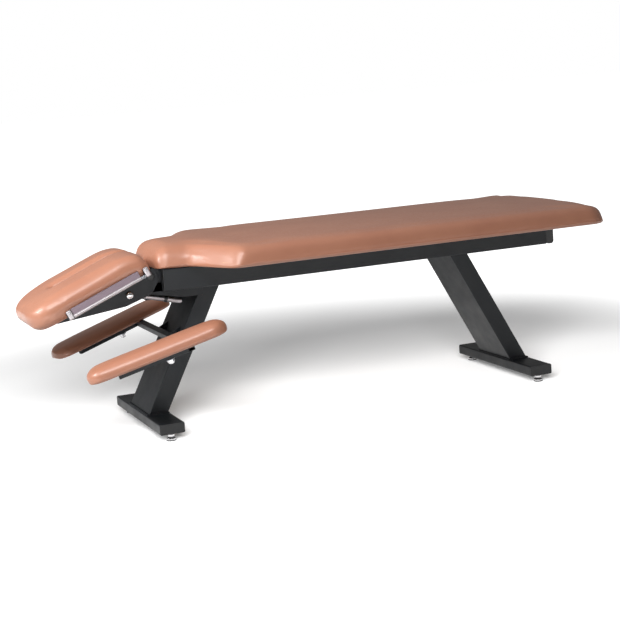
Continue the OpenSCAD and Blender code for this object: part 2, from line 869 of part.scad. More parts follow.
module head_side_plate(side) {
    color(steel_black)
        tilted()
            translate([0, side * (plate_in + plate_t / 2), 0])
                difference() {
                    side_plate_shape(side_outline, plate_t);
                    cross_rod(shaft_r + seat_fit, plate_t + overrun);
                    translate([-lock_x, 0, -lock_z])
                        cross_rod(lock_r + seat_fit, plate_t + overrun);
                }
}
module left_side_plate() {
    head_side_plate(-1);
}
module right_side_plate() {
    head_side_plate(1);
}

// Flat straps that join the side plates under the board
module head_strap(x, w) {
    color(steel_black)
        tilted()
            difference() {
                translate([-x, 0, head_seat - strap_t / 2])
                    cube([w, plate_in * 2, strap_t], center = true);
                for (side = [-1, 1])
                    translate([-x, side * strap_screw_y, head_seat - overrun])
                        cylinder(h = overrun * 2, r = strap_screw_r + seat_fit, $fn = round_fn);
            }
}
module head_strap_front() {
    head_strap(strap_front_x, strap_front_w);
}
module head_strap_rear() {
    head_strap(strap_rear_x, strap_rear_w);
}

module head_screws() {
    color(zinc)
        tilted()
            for (x = [strap_front_x, strap_rear_x], side = [-1, 1])
                translate([-x, side * strap_screw_y, head_seat - strap_t]) {
                    translate([0, 0, -strap_head_h])
                        cylinder(h = strap_head_h, r = strap_head_r, $fn = round_fn);
                    translate([0, 0, -strap_head_h / 2])
                        cylinder(h = strap_head_h / 2 + strap_t + strap_screw_in, r = strap_screw_r,
                            $fn = round_fn);
                }
}

// Breathing slot from above: open at the body end, round at the head end
module slot_shape(half) {
    translate([-slot_reach + slot_w / 2, 0])
        circle(r = half, $fn = round_fn);
    translate([-slot_reach + slot_w / 2, -half])
        square([slot_reach + head_tail + overrun, half * 2]);
}

// Notches in the board that let the cheek plates pass as the headpiece goes down
module cheek_notches() {
    for (side = [-1, 1])
        translate([(head_tail + overrun - cheek_round - cheek_past) / 2, side * (cheek_in + cheek_t / 2)])
            square([head_tail + overrun + cheek_round + cheek_past, cheek_t + cheek_gap * 2], center = true);
}

// The board's outline has its points halfway between the cushion's stations
head_board_front = head_board_in - head_reach;
head_board_back = head_tail - head_board_tail;
head_board_places = concat([head_board_front],
    [for (i = [1:len(head_places) - 1])
        let (x = (head_places[i - 1] + head_places[i]) / 2)
        if (x > head_board_front + head_board_tail && x < head_board_back) x],
    [head_board_back]);
head_board_outline = mirrored_outline(head_board_places,
    [for (x = head_board_places) head_half(x) - head_board_side]);

module head_board() {
    color(plywood)
        tilted()
            difference() {
                translate([0, 0, head_seat])
                    linear_extrude(height = board_t)
                        polygon(head_board_outline);
                translate([0, 0, head_seat - overrun])
                    linear_extrude(height = board_t + overrun * 2) {
                        slot_shape(slot_w / 2);
                        cheek_notches();
                    }
                for (x = [strap_front_x, strap_rear_x], side = [-1, 1])
                    translate([-x, side * strap_screw_y, head_seat - overrun])
                        cylinder(h = overrun + strap_screw_in, r = strap_screw_r + seat_fit, $fn = round_fn);
            }
}

module head_cushion() {
    color(vinyl_tan)
        tilted()
            translate([0, 0, head_seat])
                difference() {
                    loft(head_places, [for (x = head_places) head_section(x)]);
                    translate([0, 0, -overrun])
                        linear_extrude(height = overrun + board_t)
                            polygon(head_board_outline);
                    translate([0, 0, -overrun])
                        linear_extrude(height = head_h + overrun * 2)
                            slot_shape(slot_w / 2);
                    // its end beside the body cushion is cut square
                    translate([head_tail - head_trim, -head_w / 2, -overrun])
                        cube([head_trim + overrun, head_w, head_h + overrun * 2]);
                }
}

// Tilt lock: cross bolt through both side plates and both arc slots, a domed nut at each end
module lock_bolt() {
    color(zinc)
        tilted()
            translate([-lock_x, 0, -lock_z])
                cross_rod(lock_r, (plate_out + lock_nut_h / 2) * 2);
}

module lock_nuts() {
    color(bright)
        tilted()
            for (side = [-1, 1])
                translate([-lock_x, side * plate_out, -lock_z])
                    rotate([side * -90, 0, 0])
                        difference() {
                            dome_cap(lock_nut_r, lock_nut_h);
                            translate([0, 0, -overrun])
                                cylinder(h = overrun + lock_nut_h / 2, r = lock_r + seat_fit, $fn = round_fn);
                        }
}

// The lever's own frame: origin on the lock bolt, +X along the lever
lever_y = -(cheek_in - slide_gap - hub_w / 2);
module lever_frame() {
    tilted()
        translate([-lock_x, lever_y, -lock_z])
            rotate([0, head_rest + lever_turn, 0])
                children();
}

module tilt_lever() {
    color(bright)
        lever_frame()
            difference() {
                union() {
                    cross_rod(hub_r, hub_w);
                    rotate([0, 90, 0])
                        cylinder(h = lever_l - grip_l, r = lever_r, $fn = round_fn);
                }
                cross_rod(lock_r + run_fit, hub_w + overrun);
            }
}

// Collar and grip at the end of the lever
module lever_grip() {
    color(alloy)
        lever_frame()
            translate([lever_l - grip_l, 0, 0])
                rotate([0, 90, 0])
                    rotate_extrude($fn = round_fn)
                        polygon([[0, 0], [collar_r, 0], [collar_r, collar_w],
                                 [grip_r, collar_w], [grip_r, grip_l - grip_dome],
                                 [grip_r - grip_dome / 2, grip_l], [0, grip_l]]);
}

// Paper clamps along both sides of the headpiece

rod_y = clamp_y + clamp_t / 2;
rod_z = head_seat - clamp_low;

module at_rod(side) {
    tilted()
        translate([0, side * rod_y, rod_z])
            children();
}

// Two angle brackets screwed under the board, one at each end of the rod
module clamp_brackets(side) {
    color(bright)
        at_rod(side)
            for (x = [-clamp_head_x, -clamp_foot_x - bracket_w])
                translate([x, 0, 0])
                    difference() {
                        union() {
                            translate([0, -bracket_t / 2, -bracket_low])
                                cube([bracket_w, bracket_t, bracket_up]);
                            translate([0, side > 0 ? -(rod_y - plate_out) : 0, clamp_low - bracket_foot_t])
                                cube([bracket_w, rod_y - plate_out, bracket_foot_t]);
                        }
                        translate([-overrun, 0, 0])
                            rotate([0, 90, 0])
                                cylinder(h = bracket_w + overrun * 2, r = rod_r + seat_fit, $fn = round_fn);
                    }
}
module left_clamp_brackets() {
    clamp_brackets(-1);
}
module right_clamp_brackets() {
    clamp_brackets(1);
}

module clamp_rod(side) {
    color(zinc)
        at_rod(side)
            translate([-clamp_head_x, 0, 0])
                rotate([0, 90, 0])
                    cylinder(h = clamp_head_x - clamp_foot_x, r = rod_r, $fn = round_fn);
}
module left_clamp_rod() {
    clamp_rod(-1);
}
module right_clamp_rod() {
    clamp_rod(1);
}

// Coil spring on the rod at its body end, drawn as a ribbed sleeve
spring_end = -clamp_foot_x - bracket_w;
module clamp_spring(side) {
    color(zinc)
        at_rod(side)
            translate([spring_end - spring_l, 0, 0])
                rotate([0, 90, 0])
                    rotate_extrude($fn = round_fn)
                        polygon(concat(
                            [[rod_r + seat_fit, 0]],
                            [for (k = [0:spring_turns - 1]) each [
                                [sleeve_r - spring_wire, spring_l * k / spring_turns],
                                [sleeve_r, spring_l * (k + 1 / 2) / spring_turns]]],
                            [[sleeve_r - spring_wire, spring_l], [rod_r + seat_fit, spring_l]]));
}
module left_clamp_spring() {
    clamp_spring(-1);
}
module right_clamp_spring() {
    clamp_spring(1);
}

// Strip with a sleeve along its lower edge, turning on the rod
module clamp_bar(side) {
    start = -clamp_head_x + bracket_w + clamp_end_gap;
    long = spring_end - spring_l - clamp_end_gap - start;
    color(alloy)
        at_rod(side)
            difference() {
                union() {
                    translate([start, 0, 0])
                        rotate([0, 90, 0])
                            cylinder(h = long, r = sleeve_r, $fn = round_fn);
                    translate([start, -clamp_t / 2, 0])
                        cube([long, clamp_t, clamp_h]);
                }
                translate([start - overrun, 0, 0])
                    rotate([0, 90, 0])
                        cylinder(h = long + overrun * 2, r = rod_r + run_fit, $fn = round_fn);
            }
}
module left_clamp_bar() {
    clamp_bar(-1);
}
module right_clamp_bar() {
    clamp_bar(1);
}

// Armrest carrier: square tube, a strut across the table and an arm under each armrest

module strut_block(size, r, l) {
    translate([strut_run, 0, -strut_s / 2])
        rotate([90, 0, 0])
            linear_extrude(height = l, center = true)
                polygon(box_outline(size, size, r));
}

strut_half = arm_y + strut_run * tan(arm_toe) + strut_s / 2;

module arm_strut() {
    color(steel_black)
        carried()
            difference() {
                strut_block(strut_s, strut_round, strut_half * 2);
                strut_block(strut_s - strut_wall * 2, strut_inner_round, strut_half * 2 + overrun);
            }
}

module arm_bar(side) {
    color(steel_black)
        difference() {
            sloped(side)
                difference() {
                    translate([-bar_reach, 0, -strut_s / 2])
                        rotate([90, 0, 90])
                            linear_extrude(height = bar_reach + strut_run)
                                difference() {
                                    polygon(box_outline(strut_s, strut_s, strut_round));
                                    square(strut_s - strut_wall * 2, center = true);
                                }
                    translate([0, 0, -overrun * 2])
                        cylinder(h = overrun * 3, r = arm_bolt_r + run_fit, $fn = round_fn);
                }
            carried()
                strut_block(strut_s, strut_round, strut_half * 2 + overrun);
        }
}
module left_arm_bar() {
    arm_bar(-1);
}
module right_arm_bar() {
    arm_bar(1);
}

// Lugs that weld the strut to the front leg's face, as a side view outline
function on_slope(x, z) =
    [front_foot_x + x * cos(arm_slope) - z * sin(arm_slope), arm_z + x * sin(arm_slope) + z * cos(arm_slope)];
function leg_face(z) = [front_foot_x + (z - foot_top) * tan(leg_lean) - leg_half, z];
strut_back = strut_run + strut_s / 2;
strut_mid_z = on_slope(strut_run, -strut_s / 2)[1];

module arm_lugs() {
    color(steel_black)
        placed()
            for (side = [-1, 1])
                translate([0, side * lug_y, 0])
                    side_plate_shape(
                        [on_slope(strut_back, -strut_round), on_slope(strut_back, strut_round - strut_s),
                         leg_face(strut_mid_z - lug_low), leg_face(strut_mid_z + lug_high)], lug_t);
}

arm_board_places = [for (x = arm_places)
    if (x > arm_tail - arm_l + arm_board_in && x < arm_tail - arm_board_in) x];
arm_board_outline = mirrored_outline(arm_board_places,
    [for (x = arm_board_places) arm_half(x) - arm_board_in]);

module arm_board(side) {
    color(plywood)
        sloped(side)
            difference() {
                translate([0, 0, arm_lift])
                    linear_extrude(height = arm_board_t)
                        polygon(arm_board_outline);
                translate([0, 0, -overrun])
                    cylinder(h = overrun * 2, r = arm_bolt_r + seat_fit, $fn = round_fn);
            }
}
module left_arm_board() {
    arm_board(-1);
}
module right_arm_board() {
    arm_board(1);
}

module arm_pad(side) {
    color(vinyl_tan)
        sloped(side)
            translate([0, 0, arm_lift])
                difference() {
                    loft(arm_places, [for (x = arm_places) arm_section(x)]);
                    translate([0, 0, -overrun])
                        linear_extrude(height = overrun + arm_board_t)
                            polygon(arm_board_outline);
                }
}
module left_arm_pad() {
    arm_pad(-1);
}
module right_arm_pad() {
    arm_pad(1);
}

// Bolt from the board down through the carrier arm, with a collar above it and a washer below
washer_low = -strut_s - run_fit - washer_t;
module arm_bolt(side) {
    bolt_low = washer_low - nut_h - dome_h / 2;
    color(zinc)
        sloped(side) {
            translate([0, 0, bolt_low])
                cylinder(h = arm_lift + arm_board_t - bolt_low, r = arm_bolt_r, $fn = round_fn);
            translate([0, 0, run_fit])
                cylinder(h = arm_lift - run_fit, r = washer_r, $fn = round_fn);
            translate([0, 0, washer_low])
                cylinder(h = washer_t, r = washer_r, $fn = round_fn);
        }
}
module left_arm_bolt() {
    arm_bolt(-1);
}
module right_arm_bolt() {
    arm_bolt(1);
}

// Domed nut under the bar
module arm_nut(side) {
    color(bright)
        sloped(side)
            translate([0, 0, washer_low])
                difference() {
                    union() {
                        translate([0, 0, -nut_h])
                            hexagon(nut_af, nut_h);
                        translate([0, 0, -nut_h])
                            rotate([180, 0, 0])
                                dome_cap(dome_r, dome_h);
                    }
                    translate([0, 0, -nut_h - dome_h / 2])
                        cylinder(h = overrun, r = arm_bolt_r + seat_fit, $fn = round_fn);
                }
}
module left_arm_nut() {
    arm_nut(-1);
}
module right_arm_nut() {
    arm_nut(1);
}

left_rail();
right_rail();
head_end_tube();
foot_end_tube();
frame_plugs();
front_crossmember();
rear_crossmember();
front_leg();
rear_leg();
front_foot();
rear_foot();
foot_plugs();
leveller_nuts();
leveller_front_left();
leveller_front_right();
leveller_rear_left();
leveller_rear_right();
cushion_tabs();
body_board();
cushion_bolts();
body_cushion();
left_cheek_plate();
right_cheek_plate();
pivot_bushes();
pivot_shaft();
pivot_caps();
left_side_plate();
right_side_plate();
head_strap_front();
head_strap_rear();
head_board();
head_screws();
head_cushion();
lock_bolt();
lock_nuts();
tilt_lever();
lever_grip();
left_clamp_brackets();
right_clamp_brackets();
left_clamp_rod();
right_clamp_rod();
left_clamp_spring();
right_clamp_spring();
left_clamp_bar();
right_clamp_bar();
arm_lugs();
arm_strut();
left_arm_bar();
right_arm_bar();
left_arm_board();
right_arm_board();
left_arm_pad();
right_arm_pad();
left_arm_bolt();
right_arm_bolt();
left_arm_nut();
right_arm_nut();
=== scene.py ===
# Looks of a bench-style treatment table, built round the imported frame. Metres, same frame as the solids.
import json
import math

import bmesh
import bpy
from mathutils import Matrix, Vector

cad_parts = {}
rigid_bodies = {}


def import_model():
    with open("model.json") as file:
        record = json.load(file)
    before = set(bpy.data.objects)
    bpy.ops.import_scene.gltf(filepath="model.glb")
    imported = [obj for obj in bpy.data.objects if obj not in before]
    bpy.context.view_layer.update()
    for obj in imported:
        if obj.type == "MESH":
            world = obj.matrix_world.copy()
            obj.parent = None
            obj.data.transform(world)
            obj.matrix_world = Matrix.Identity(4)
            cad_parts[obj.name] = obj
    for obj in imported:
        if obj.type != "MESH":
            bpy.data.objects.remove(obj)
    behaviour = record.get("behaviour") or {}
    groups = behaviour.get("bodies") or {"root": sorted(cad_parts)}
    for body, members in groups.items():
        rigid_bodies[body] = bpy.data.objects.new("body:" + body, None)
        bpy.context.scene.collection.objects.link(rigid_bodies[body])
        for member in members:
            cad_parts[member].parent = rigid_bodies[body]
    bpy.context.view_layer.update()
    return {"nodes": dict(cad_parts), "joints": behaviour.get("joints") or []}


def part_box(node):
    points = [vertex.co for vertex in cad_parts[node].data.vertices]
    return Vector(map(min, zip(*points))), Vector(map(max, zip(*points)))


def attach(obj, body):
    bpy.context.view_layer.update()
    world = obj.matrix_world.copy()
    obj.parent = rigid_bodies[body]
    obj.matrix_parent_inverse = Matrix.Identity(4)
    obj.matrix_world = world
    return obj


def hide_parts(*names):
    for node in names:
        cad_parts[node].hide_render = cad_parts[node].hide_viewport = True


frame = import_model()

print("frame loaded")


# Helpers

def toLinear(code):
    # sRGB hex to linear colour, by the standard curve
    parts = [int(code[i:i + 2], 16) / 255 for i in (1, 3, 5)]
    return [p / 12.92 if p <= 0.04045 else ((p + 0.055) / 1.055) ** 2.4 for p in parts] + [1.0]


def addNode(tree, kind, links=None, values=None, **settings):
    node = tree.nodes.new(kind)
    for name, value in settings.items():
        setattr(node, name, value)
    for socket, value in (values or {}).items():
        node.inputs[socket].default_value = value
    for socket, source in (links or {}).items():
        tree.links.new(source, node.inputs[socket])
    return node


def mixedColour(tree, factor, first, second):
    # two sRGB colours mixed by a factor between 0 and 1
    mix = addNode(tree, "ShaderNodeMix", data_type="RGBA")
    tree.links.new(factor, mix.inputs["Factor"])
    mix.inputs[6].default_value = toLinear(first)
    mix.inputs[7].default_value = toLinear(second)
    return mix.outputs[2]


def newMaterial(name):
    # a material with its shader and the object coordinates that its patterns read
    material = bpy.data.materials.new(name)
    material.use_nodes = True
    tree = material.node_tree
    shader = tree.nodes["Principled BSDF"]
    place = addNode(tree, "ShaderNodeTexCoord").outputs["Object"]
    return material, tree, shader, place


def perMetre(millimetres):
    # texture scale at which a pattern repeats about every so many millimetres
    return 1000 / millimetres


def jointNamed(name):
    return next(j for j in frame["joints"] if j["name"] == name)


# Places, from the frame's own joints

headTilt = math.radians(22.5)      # the headpiece stands this far below level
armSlope = math.radians(16.4)      # the armrests lie this far below level
armToe = math.radians(10.8)        # and turn in by this much at the head end
pivot = Vector(jointNamed("headpiece_tilt")["pos_m"])
headFrame = Matrix.Translation(pivot) @ Matrix.Rotation(-headTilt, 4, "Y")
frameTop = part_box("body_board")[0].z


def armFrame(side):
    place = Vector(jointNamed("left_armrest_swing")["pos_m"])
    place.y = side * abs(place.y)
    return (Matrix.Translation(place) @ Matrix.Rotation(-armSlope, 4, "Y")
            @ Matrix.Rotation(side * armToe, 4, "Z"))


# Materials

vinylLook = {
    "name": "upholsteryVinyl",     # PVC-coated knit, embossed and satin: soft broad highlights
    "light": "#bf856a",
    "deep": "#ad735b",
    "mottleMm": 110,
    "grainMm": 3.2,                # the real grain is about 1 mm; drawn coarser so that it shows
    "pebbleMm": 9,
    "grainEdge": 0.16,             # share of a grain cell that its rounded edge takes
    "grainDepth": 0.00010, "relief": 0.55,
    "roughness": (0.34, 0.44),
    "ior": 1.5, "specular": 0.5, "coat": 0.3, "coatRoughness": 0.24,
}
noiseSpan = (0.3, 0.7)             # most of a noise's values lie between these


def makeVinyl(look):
    material, tree, shader, place = newMaterial(look["name"])
    mottle = addNode(tree, "ShaderNodeTexNoise", {"Vector": place},
                     {"Scale": perMetre(look["mottleMm"]), "Detail": 3.0, "Roughness": 0.55})
    tree.links.new(mixedColour(tree, mottle.outputs["Fac"], look["deep"], look["light"]),
                   shader.inputs["Base Color"])
    grain = addNode(tree, "ShaderNodeTexVoronoi", {"Vector": place}, {"Scale": perMetre(look["grainMm"])},
                    feature="DISTANCE_TO_EDGE")
    valley = addNode(tree, "ShaderNodeMapRange", {"Value": grain.outputs["Distance"]},
                     {"From Min": 0.0, "From Max": look["grainEdge"]}, interpolation_type="SMOOTHSTEP")
    pebble = addNode(tree, "ShaderNodeTexNoise", {"Vector": place},
                     {"Scale": perMetre(look["pebbleMm"]), "Detail": 4.0, "Roughness": 0.6})
    height = addNode(tree, "ShaderNodeMath", {0: pebble.outputs["Fac"], 1: valley.outputs["Result"]},
                     operation="ADD")
    bump = addNode(tree, "ShaderNodeBump", {"Height": height.outputs[0]},
                   {"Strength": look["relief"], "Distance": look["grainDepth"]})
    tree.links.new(bump.outputs["Normal"], shader.inputs["Normal"])
    gloss = addNode(tree, "ShaderNodeMapRange", {"Value": pebble.outputs["Fac"]},
                    {"From Min": noiseSpan[0], "From Max": noiseSpan[1], "To Min": look["roughness"][0],
                     "To Max": look["roughness"][1]})
    tree.links.new(gloss.outputs["Result"], shader.inputs["Roughness"])
    shader.inputs["IOR"].default_value = look["ior"]
    shader.inputs["Specular IOR Level"].default_value = look["specular"]
    shader.inputs["Coat Weight"].default_value = look["coat"]
    shader.inputs["Coat Roughness"].default_value = look["coatRoughness"]
    return material


coatLook = {
    "name": "powderCoat",          # baked polyester powder, fine texture: satin, hides the metal's sheen
    "colour": "#14171a",
    "worn": "#1c1f23",
    "specular": 0.3,
    "cloudMm": 60,
    "textureMm": 1.6,              # real orange peel is about 0.5 mm; drawn coarser
    "depth": 0.00007, "relief": 0.5,
    "roughness": (0.40, 0.52),
}


def makeCoat(look):
    material, tree, shader, place = newMaterial(look["name"])
    peel = addNode(tree, "ShaderNodeTexNoise", {"Vector": place},
                   {"Scale": perMetre(look["textureMm"]), "Detail": 2.0, "Roughness": 0.5})
    cloud = addNode(tree, "ShaderNodeTexNoise", {"Vector": place},
                    {"Scale": perMetre(look["cloudMm"]), "Detail": 4.0, "Roughness": 0.6})
    tree.links.new(mixedColour(tree, cloud.outputs["Fac"], look["colour"], look["worn"]),
                   shader.inputs["Base Color"])
    bump = addNode(tree, "ShaderNodeBump", {"Height": peel.outputs["Fac"]},
                   {"Strength": look["relief"], "Distance": look["depth"]})
    tree.links.new(bump.outputs["Normal"], shader.inputs["Normal"])
    gloss = addNode(tree, "ShaderNodeMapRange", {"Value": cloud.outputs["Fac"]},
                    {"From Min": noiseSpan[0], "From Max": noiseSpan[1], "To Min": look["roughness"][0],
                     "To Max": look["roughness"][1]})
    tree.links.new(gloss.outputs["Result"], shader.inputs["Roughness"])
    shader.inputs["Specular IOR Level"].default_value = look["specular"]
    return material


streakLook = {"relief": 0.35, "depth": 0.00005}


def makeMetal(name, colour, roughness, streaks=None, smudgeMm=25):
    # bare or plated metal: smudges on polish, or long streaks where it was brushed
    material, tree, shader, place = newMaterial(name)
    shader.inputs["Base Color"].default_value = toLinear(colour)
    shader.inputs["Metallic"].default_value = 1.0
    if streaks:
        turned = addNode(tree, "ShaderNodeMapping", {"Vector": place}, vector_type="TEXTURE")
        turned.inputs["Rotation"].default_value = (0.0, streaks["turn"], 0.0)
        long = addNode(tree, "ShaderNodeMapping", {"Vector": turned.outputs["Vector"]})
        long.inputs["Scale"].default_value = (perMetre(streaks["lengthMm"]), perMetre(streaks["widthMm"]),
                                              perMetre(streaks["widthMm"]))
        pattern = addNode(tree, "ShaderNodeTexNoise", {"Vector": long.outputs["Vector"]},
                          {"Scale": 1.0, "Detail": 3.0, "Roughness": 0.6})
        bump = addNode(tree, "ShaderNodeBump", {"Height": pattern.outputs["Fac"]},
                       {"Strength": streakLook["relief"], "Distance": streakLook["depth"]})
        tree.links.new(bump.outputs["Normal"], shader.inputs["Normal"])
    else:
        pattern = addNode(tree, "ShaderNodeTexNoise", {"Vector": place},
                          {"Scale": perMetre(smudgeMm), "Detail": 4.0, "Roughness": 0.6})
    gloss = addNode(tree, "ShaderNodeMapRange", {"Value": pattern.outputs["Fac"]},
                    {"From Min": noiseSpan[0], "From Max": noiseSpan[1], "To Min": roughness[0],
                     "To Max": roughness[1]})
    tree.links.new(gloss.outputs["Result"], shader.inputs["Roughness"])
    return material


def makePlain(name, colours, roughness, patternMm, depth, stretch=(1, 1, 1), relief=0.5):
    # moulded or sawn stuff: two shades over one noise, with a little relief
    material, tree, shader, place = newMaterial(name)
    long = addNode(tree, "ShaderNodeMapping", {"Vector": place})
    long.inputs["Scale"].default_value = stretch
    pattern = addNode(tree, "ShaderNodeTexNoise", {"Vector": long.outputs["Vector"]},
                      {"Scale": perMetre(patternMm), "Detail": 5.0, "Roughness": 0.6, "Distortion": 0.4})
    tree.links.new(mixedColour(tree, pattern.outputs["Fac"], *colours), shader.inputs["Base Color"])
    bump = addNode(tree, "ShaderNodeBump", {"Height": pattern.outputs["Fac"]},
                   {"Strength": relief, "Distance": depth})
    tree.links.new(bump.outputs["Normal"], shader.inputs["Normal"])
    shader.inputs["Roughness"].default_value = roughness
    return material


vinyl = makeVinyl(vinylLook)
powderCoat = makeCoat(coatLook)
# polished before plating: bright and mirror-like
chromePlate = makeMetal("chromePlate", "#c9c8ca", (0.10, 0.22))
# blasted before plating: a dull shine
satinNickel = makeMetal("satinNickel", "#9d989a", (0.30, 0.42), smudgeMm=12)
# passivated fasteners: dull silver
zincPlate = makeMetal("zincPlate", "#a2a5aa", (0.30, 0.42), smudgeMm=8)
# stainless strip grained along its length: highlights drawn out across the grain
brushedStrip = makeMetal("brushedStainless", "#6e6269", (0.30, 0.44),
                         {"turn": -headTilt, "lengthMm": 60, "widthMm": 0.8})
# pressed and sintered powder, full of oil: brown and matt
bronze = makeMetal("sinteredBronze", "#9a7748", (0.42, 0.55), smudgeMm=2)
# moulded polyethylene with a spark-eroded skin: even and matt
blackPlastic = makePlain("mouldedPlastic", ("#141517", "#1d1e20"), 0.48, 1.2, 0.00005)
# moulded rubber: nearly no shine
rubberSole = makePlain("soleRubber", ("#17171a", "#222226"), 0.8, 1.5, 0.00008)
# raw sanded birch: pale, with its grain along the table
birchPly = makePlain("birchPlywood", ("#b98f5c", "#d3ae7d"), 0.62, 14, 0.00012, (0.12, 1, 1))
print("materials made")


# Making pieces

def makeObject(name, bm, material, sharpAngle=50):
    mesh = bpy.data.meshes.new(name)
    bm.to_mesh(mesh)
    bm.free()
    for one in (material if isinstance(material, (list, tuple)) else [material]):
        mesh.materials.append(one)
    mesh.shade_smooth()
    mesh.set_sharp_from_angle(angle=math.radians(sharpAngle))
    piece = bpy.data.objects.new(name, mesh)
    bpy.context.collection.objects.link(piece)
    return piece


def declare(piece, body, stands):
    # the piece rides on a body and may stand for solids of the frame
    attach(piece, body)
    if stands:
        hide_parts(*stands)
    return piece


def finishPiece(name, bm, material, body, stands=()):
    return declare(makeObject(name, bm, material), body, stands)


def easeEdges(bm, edges, width):
    bmesh.ops.bevel(bm, geom=edges, offset=width, offset_type="OFFSET", affect="EDGES", segments=2,
                    profile=0.5, material=-1)


def spinOutline(bm, points, place, axis, turns):
    # points in a half plane spun fully round the axis at place
    verts = [bm.verts.new(p) for p in points]
    edges = [bm.edges.new(pair) for pair in zip(verts, verts[1:])]
    bmesh.ops.spin(bm, geom=verts + edges, cent=place, axis=axis, angle=math.tau, steps=turns, use_merge=True)


def keepFlats(piece):
    # large flat faces keep their own normals beside a rounded edge
    weighted = piece.modifiers.new("keepFlats", "WEIGHTED_NORMAL")
    weighted.keep_sharp = True


clampLook = {
    # in the headpiece's own frame
    "sleeveTop": 0.0203, "screwR": 0.0032, "screwH": 0.0014, "screwUp": 0.0300, "screwX": (-0.254, -0.010),
    "screwQuads": (20, 10),
}
flatAngle = 0.5           # degrees: faces that turn less than this are one flat
mergeGap = 1e-5           # the solids come as loose triangles


def easedNode(node, material, body, width, steep=35):
    # a merged copy of a solid with its sharp edges eased, which stands for that solid
    bm = bmesh.new()
    bm.from_mesh(frame["nodes"][node].data)
    bmesh.ops.remove_doubles(bm, verts=bm.verts, dist=mergeGap)
    bmesh.ops.dissolve_limit(bm, angle_limit=math.radians(flatAngle), verts=bm.verts, edges=bm.edges)
    sharp = [e for e in bm.edges if len(e.link_faces) == 2 and e.calc_face_angle(0) > math.radians(steep)]
    easeEdges(bm, sharp, width)
    if node.endswith("clamp_bar"):
        # its rolled sleeve gets the lighter satin metal and shows as a bright line along the strip's lower
        # edge; the strip keeps the darker brushed one
        toHead = headFrame.inverted()
        for f in bm.faces:
            if (toHead @ f.calc_center_median()).z < clampLook["sleeveTop"]:
                f.material_index = 1
        material = [material, satinNickel]
    keepFlats(finishPiece("eased_" + node, bm, material, body, stands=[node]))


easedGroups = [
    # material, slot, body, width of the eased edge, solids
    (powderCoat, "powder_coat", "frame", 0.0010, ["left_rail", "right_rail", "head_end_tube", "foot_end_tube",
                                                  "front_crossmember", "rear_crossmember"]),
    (powderCoat, "powder_coat", "frame", 0.0028, ["front_leg", "rear_leg"]),
    (powderCoat, "powder_coat", "frame", 0.0008, ["front_foot", "rear_foot"]),
    (powderCoat, "powder_coat", "frame", 0.0006, ["cushion_tabs"]),
    (powderCoat, "powder_coat", "frame", 0.0008, ["left_cheek_plate", "right_cheek_plate", "arm_lugs"]),
    (powderCoat, "powder_coat", "frame", 0.0006, ["arm_strut", "left_arm_bar", "right_arm_bar"]),
    (powderCoat, "powder_coat", "headpiece", 0.0008, ["left_side_plate", "right_side_plate"]),
    (powderCoat, "powder_coat", "headpiece", 0.0006, ["head_strap_front", "head_strap_rear"]),
    (blackPlastic, "plastic", "frame", 0.0006, ["frame_plugs", "foot_plugs"]),
    (blackPlastic, "plastic", "headpiece", 0.0005, ["pivot_caps"]),
    (satinNickel, "brushed_steel", "headpiece", 0.0030, ["left_clamp_brackets", "right_clamp_brackets"]),
    (brushedStrip, "brushed_steel", "left_clamp", 0.0006, ["left_clamp_bar"]),
    (brushedStrip, "brushed_steel", "right_clamp", 0.0006, ["right_clamp_bar"]),
    (chromePlate, "chrome", "headpiece", 0.0005, ["lock_nuts"]),
    (chromePlate, "chrome", "left_armrest", 0.0005, ["left_arm_nut"]),
    (chromePlate, "chrome", "right_armrest", 0.0005, ["right_arm_nut"]),
    (zincPlate, "zinc", "frame", 0.0005, ["cushion_bolts"]),
    (zincPlate, "zinc", "headpiece", 0.0004, ["head_screws"]),
]
for material, slotName, body, width, nodes in easedGroups:
    for node in nodes:
        easedNode(node, material, body, width)


# Stiffening plates flat against the rails' inner faces. The left one ends just above the tilt lever.

skirtLook = {
    "inner": 0.108, "outer": 0.114, "eased": 0.0008,
    # from the headpiece's pivot: back, up
    "left": [(-0.012, -0.020), (-0.012, -0.049), (0.032, -0.0585), (0.091, -0.071), (0.150, -0.071),
             (0.150, -0.020)],
    "right": [(-0.012, -0.020), (-0.012, -0.070), (0.040, -0.100), (0.150, -0.100), (0.150, -0.020)],
}


def makeSkirt(side, word, look=skirtLook):
    bm = bmesh.new()
    corners = [bm.verts.new((pivot.x + x, side * look["inner"], pivot.z + z)) for x, z in look[word]]
    face = bm.faces.new(corners)
    pulled = bmesh.ops.extrude_face_region(bm, geom=[face])["geom"]
    bmesh.ops.translate(bm, verts=[v for v in pulled if isinstance(v, bmesh.types.BMVert)],
                        vec=(0, side * (look["outer"] - look["inner"]), 0))
    bmesh.ops.recalc_face_normals(bm, faces=bm.faces)
    easeEdges(bm, bm.edges[:], look["eased"])
    keepFlats(finishPiece(word + "_skirt_plate", bm, powderCoat, "frame"))


makeSkirt(-1, "left")
makeSkirt(1, "right")


# Weld beads round the legs on the feet, rippled by the passes of the torch

weldLook = {"beadR": 0.0045, "rippleMm": 3.6, "ripple": 0.0004, "segments": 12, "step": 0.0012,
            "legHalf": 0.0289, "legSide": 0.101}


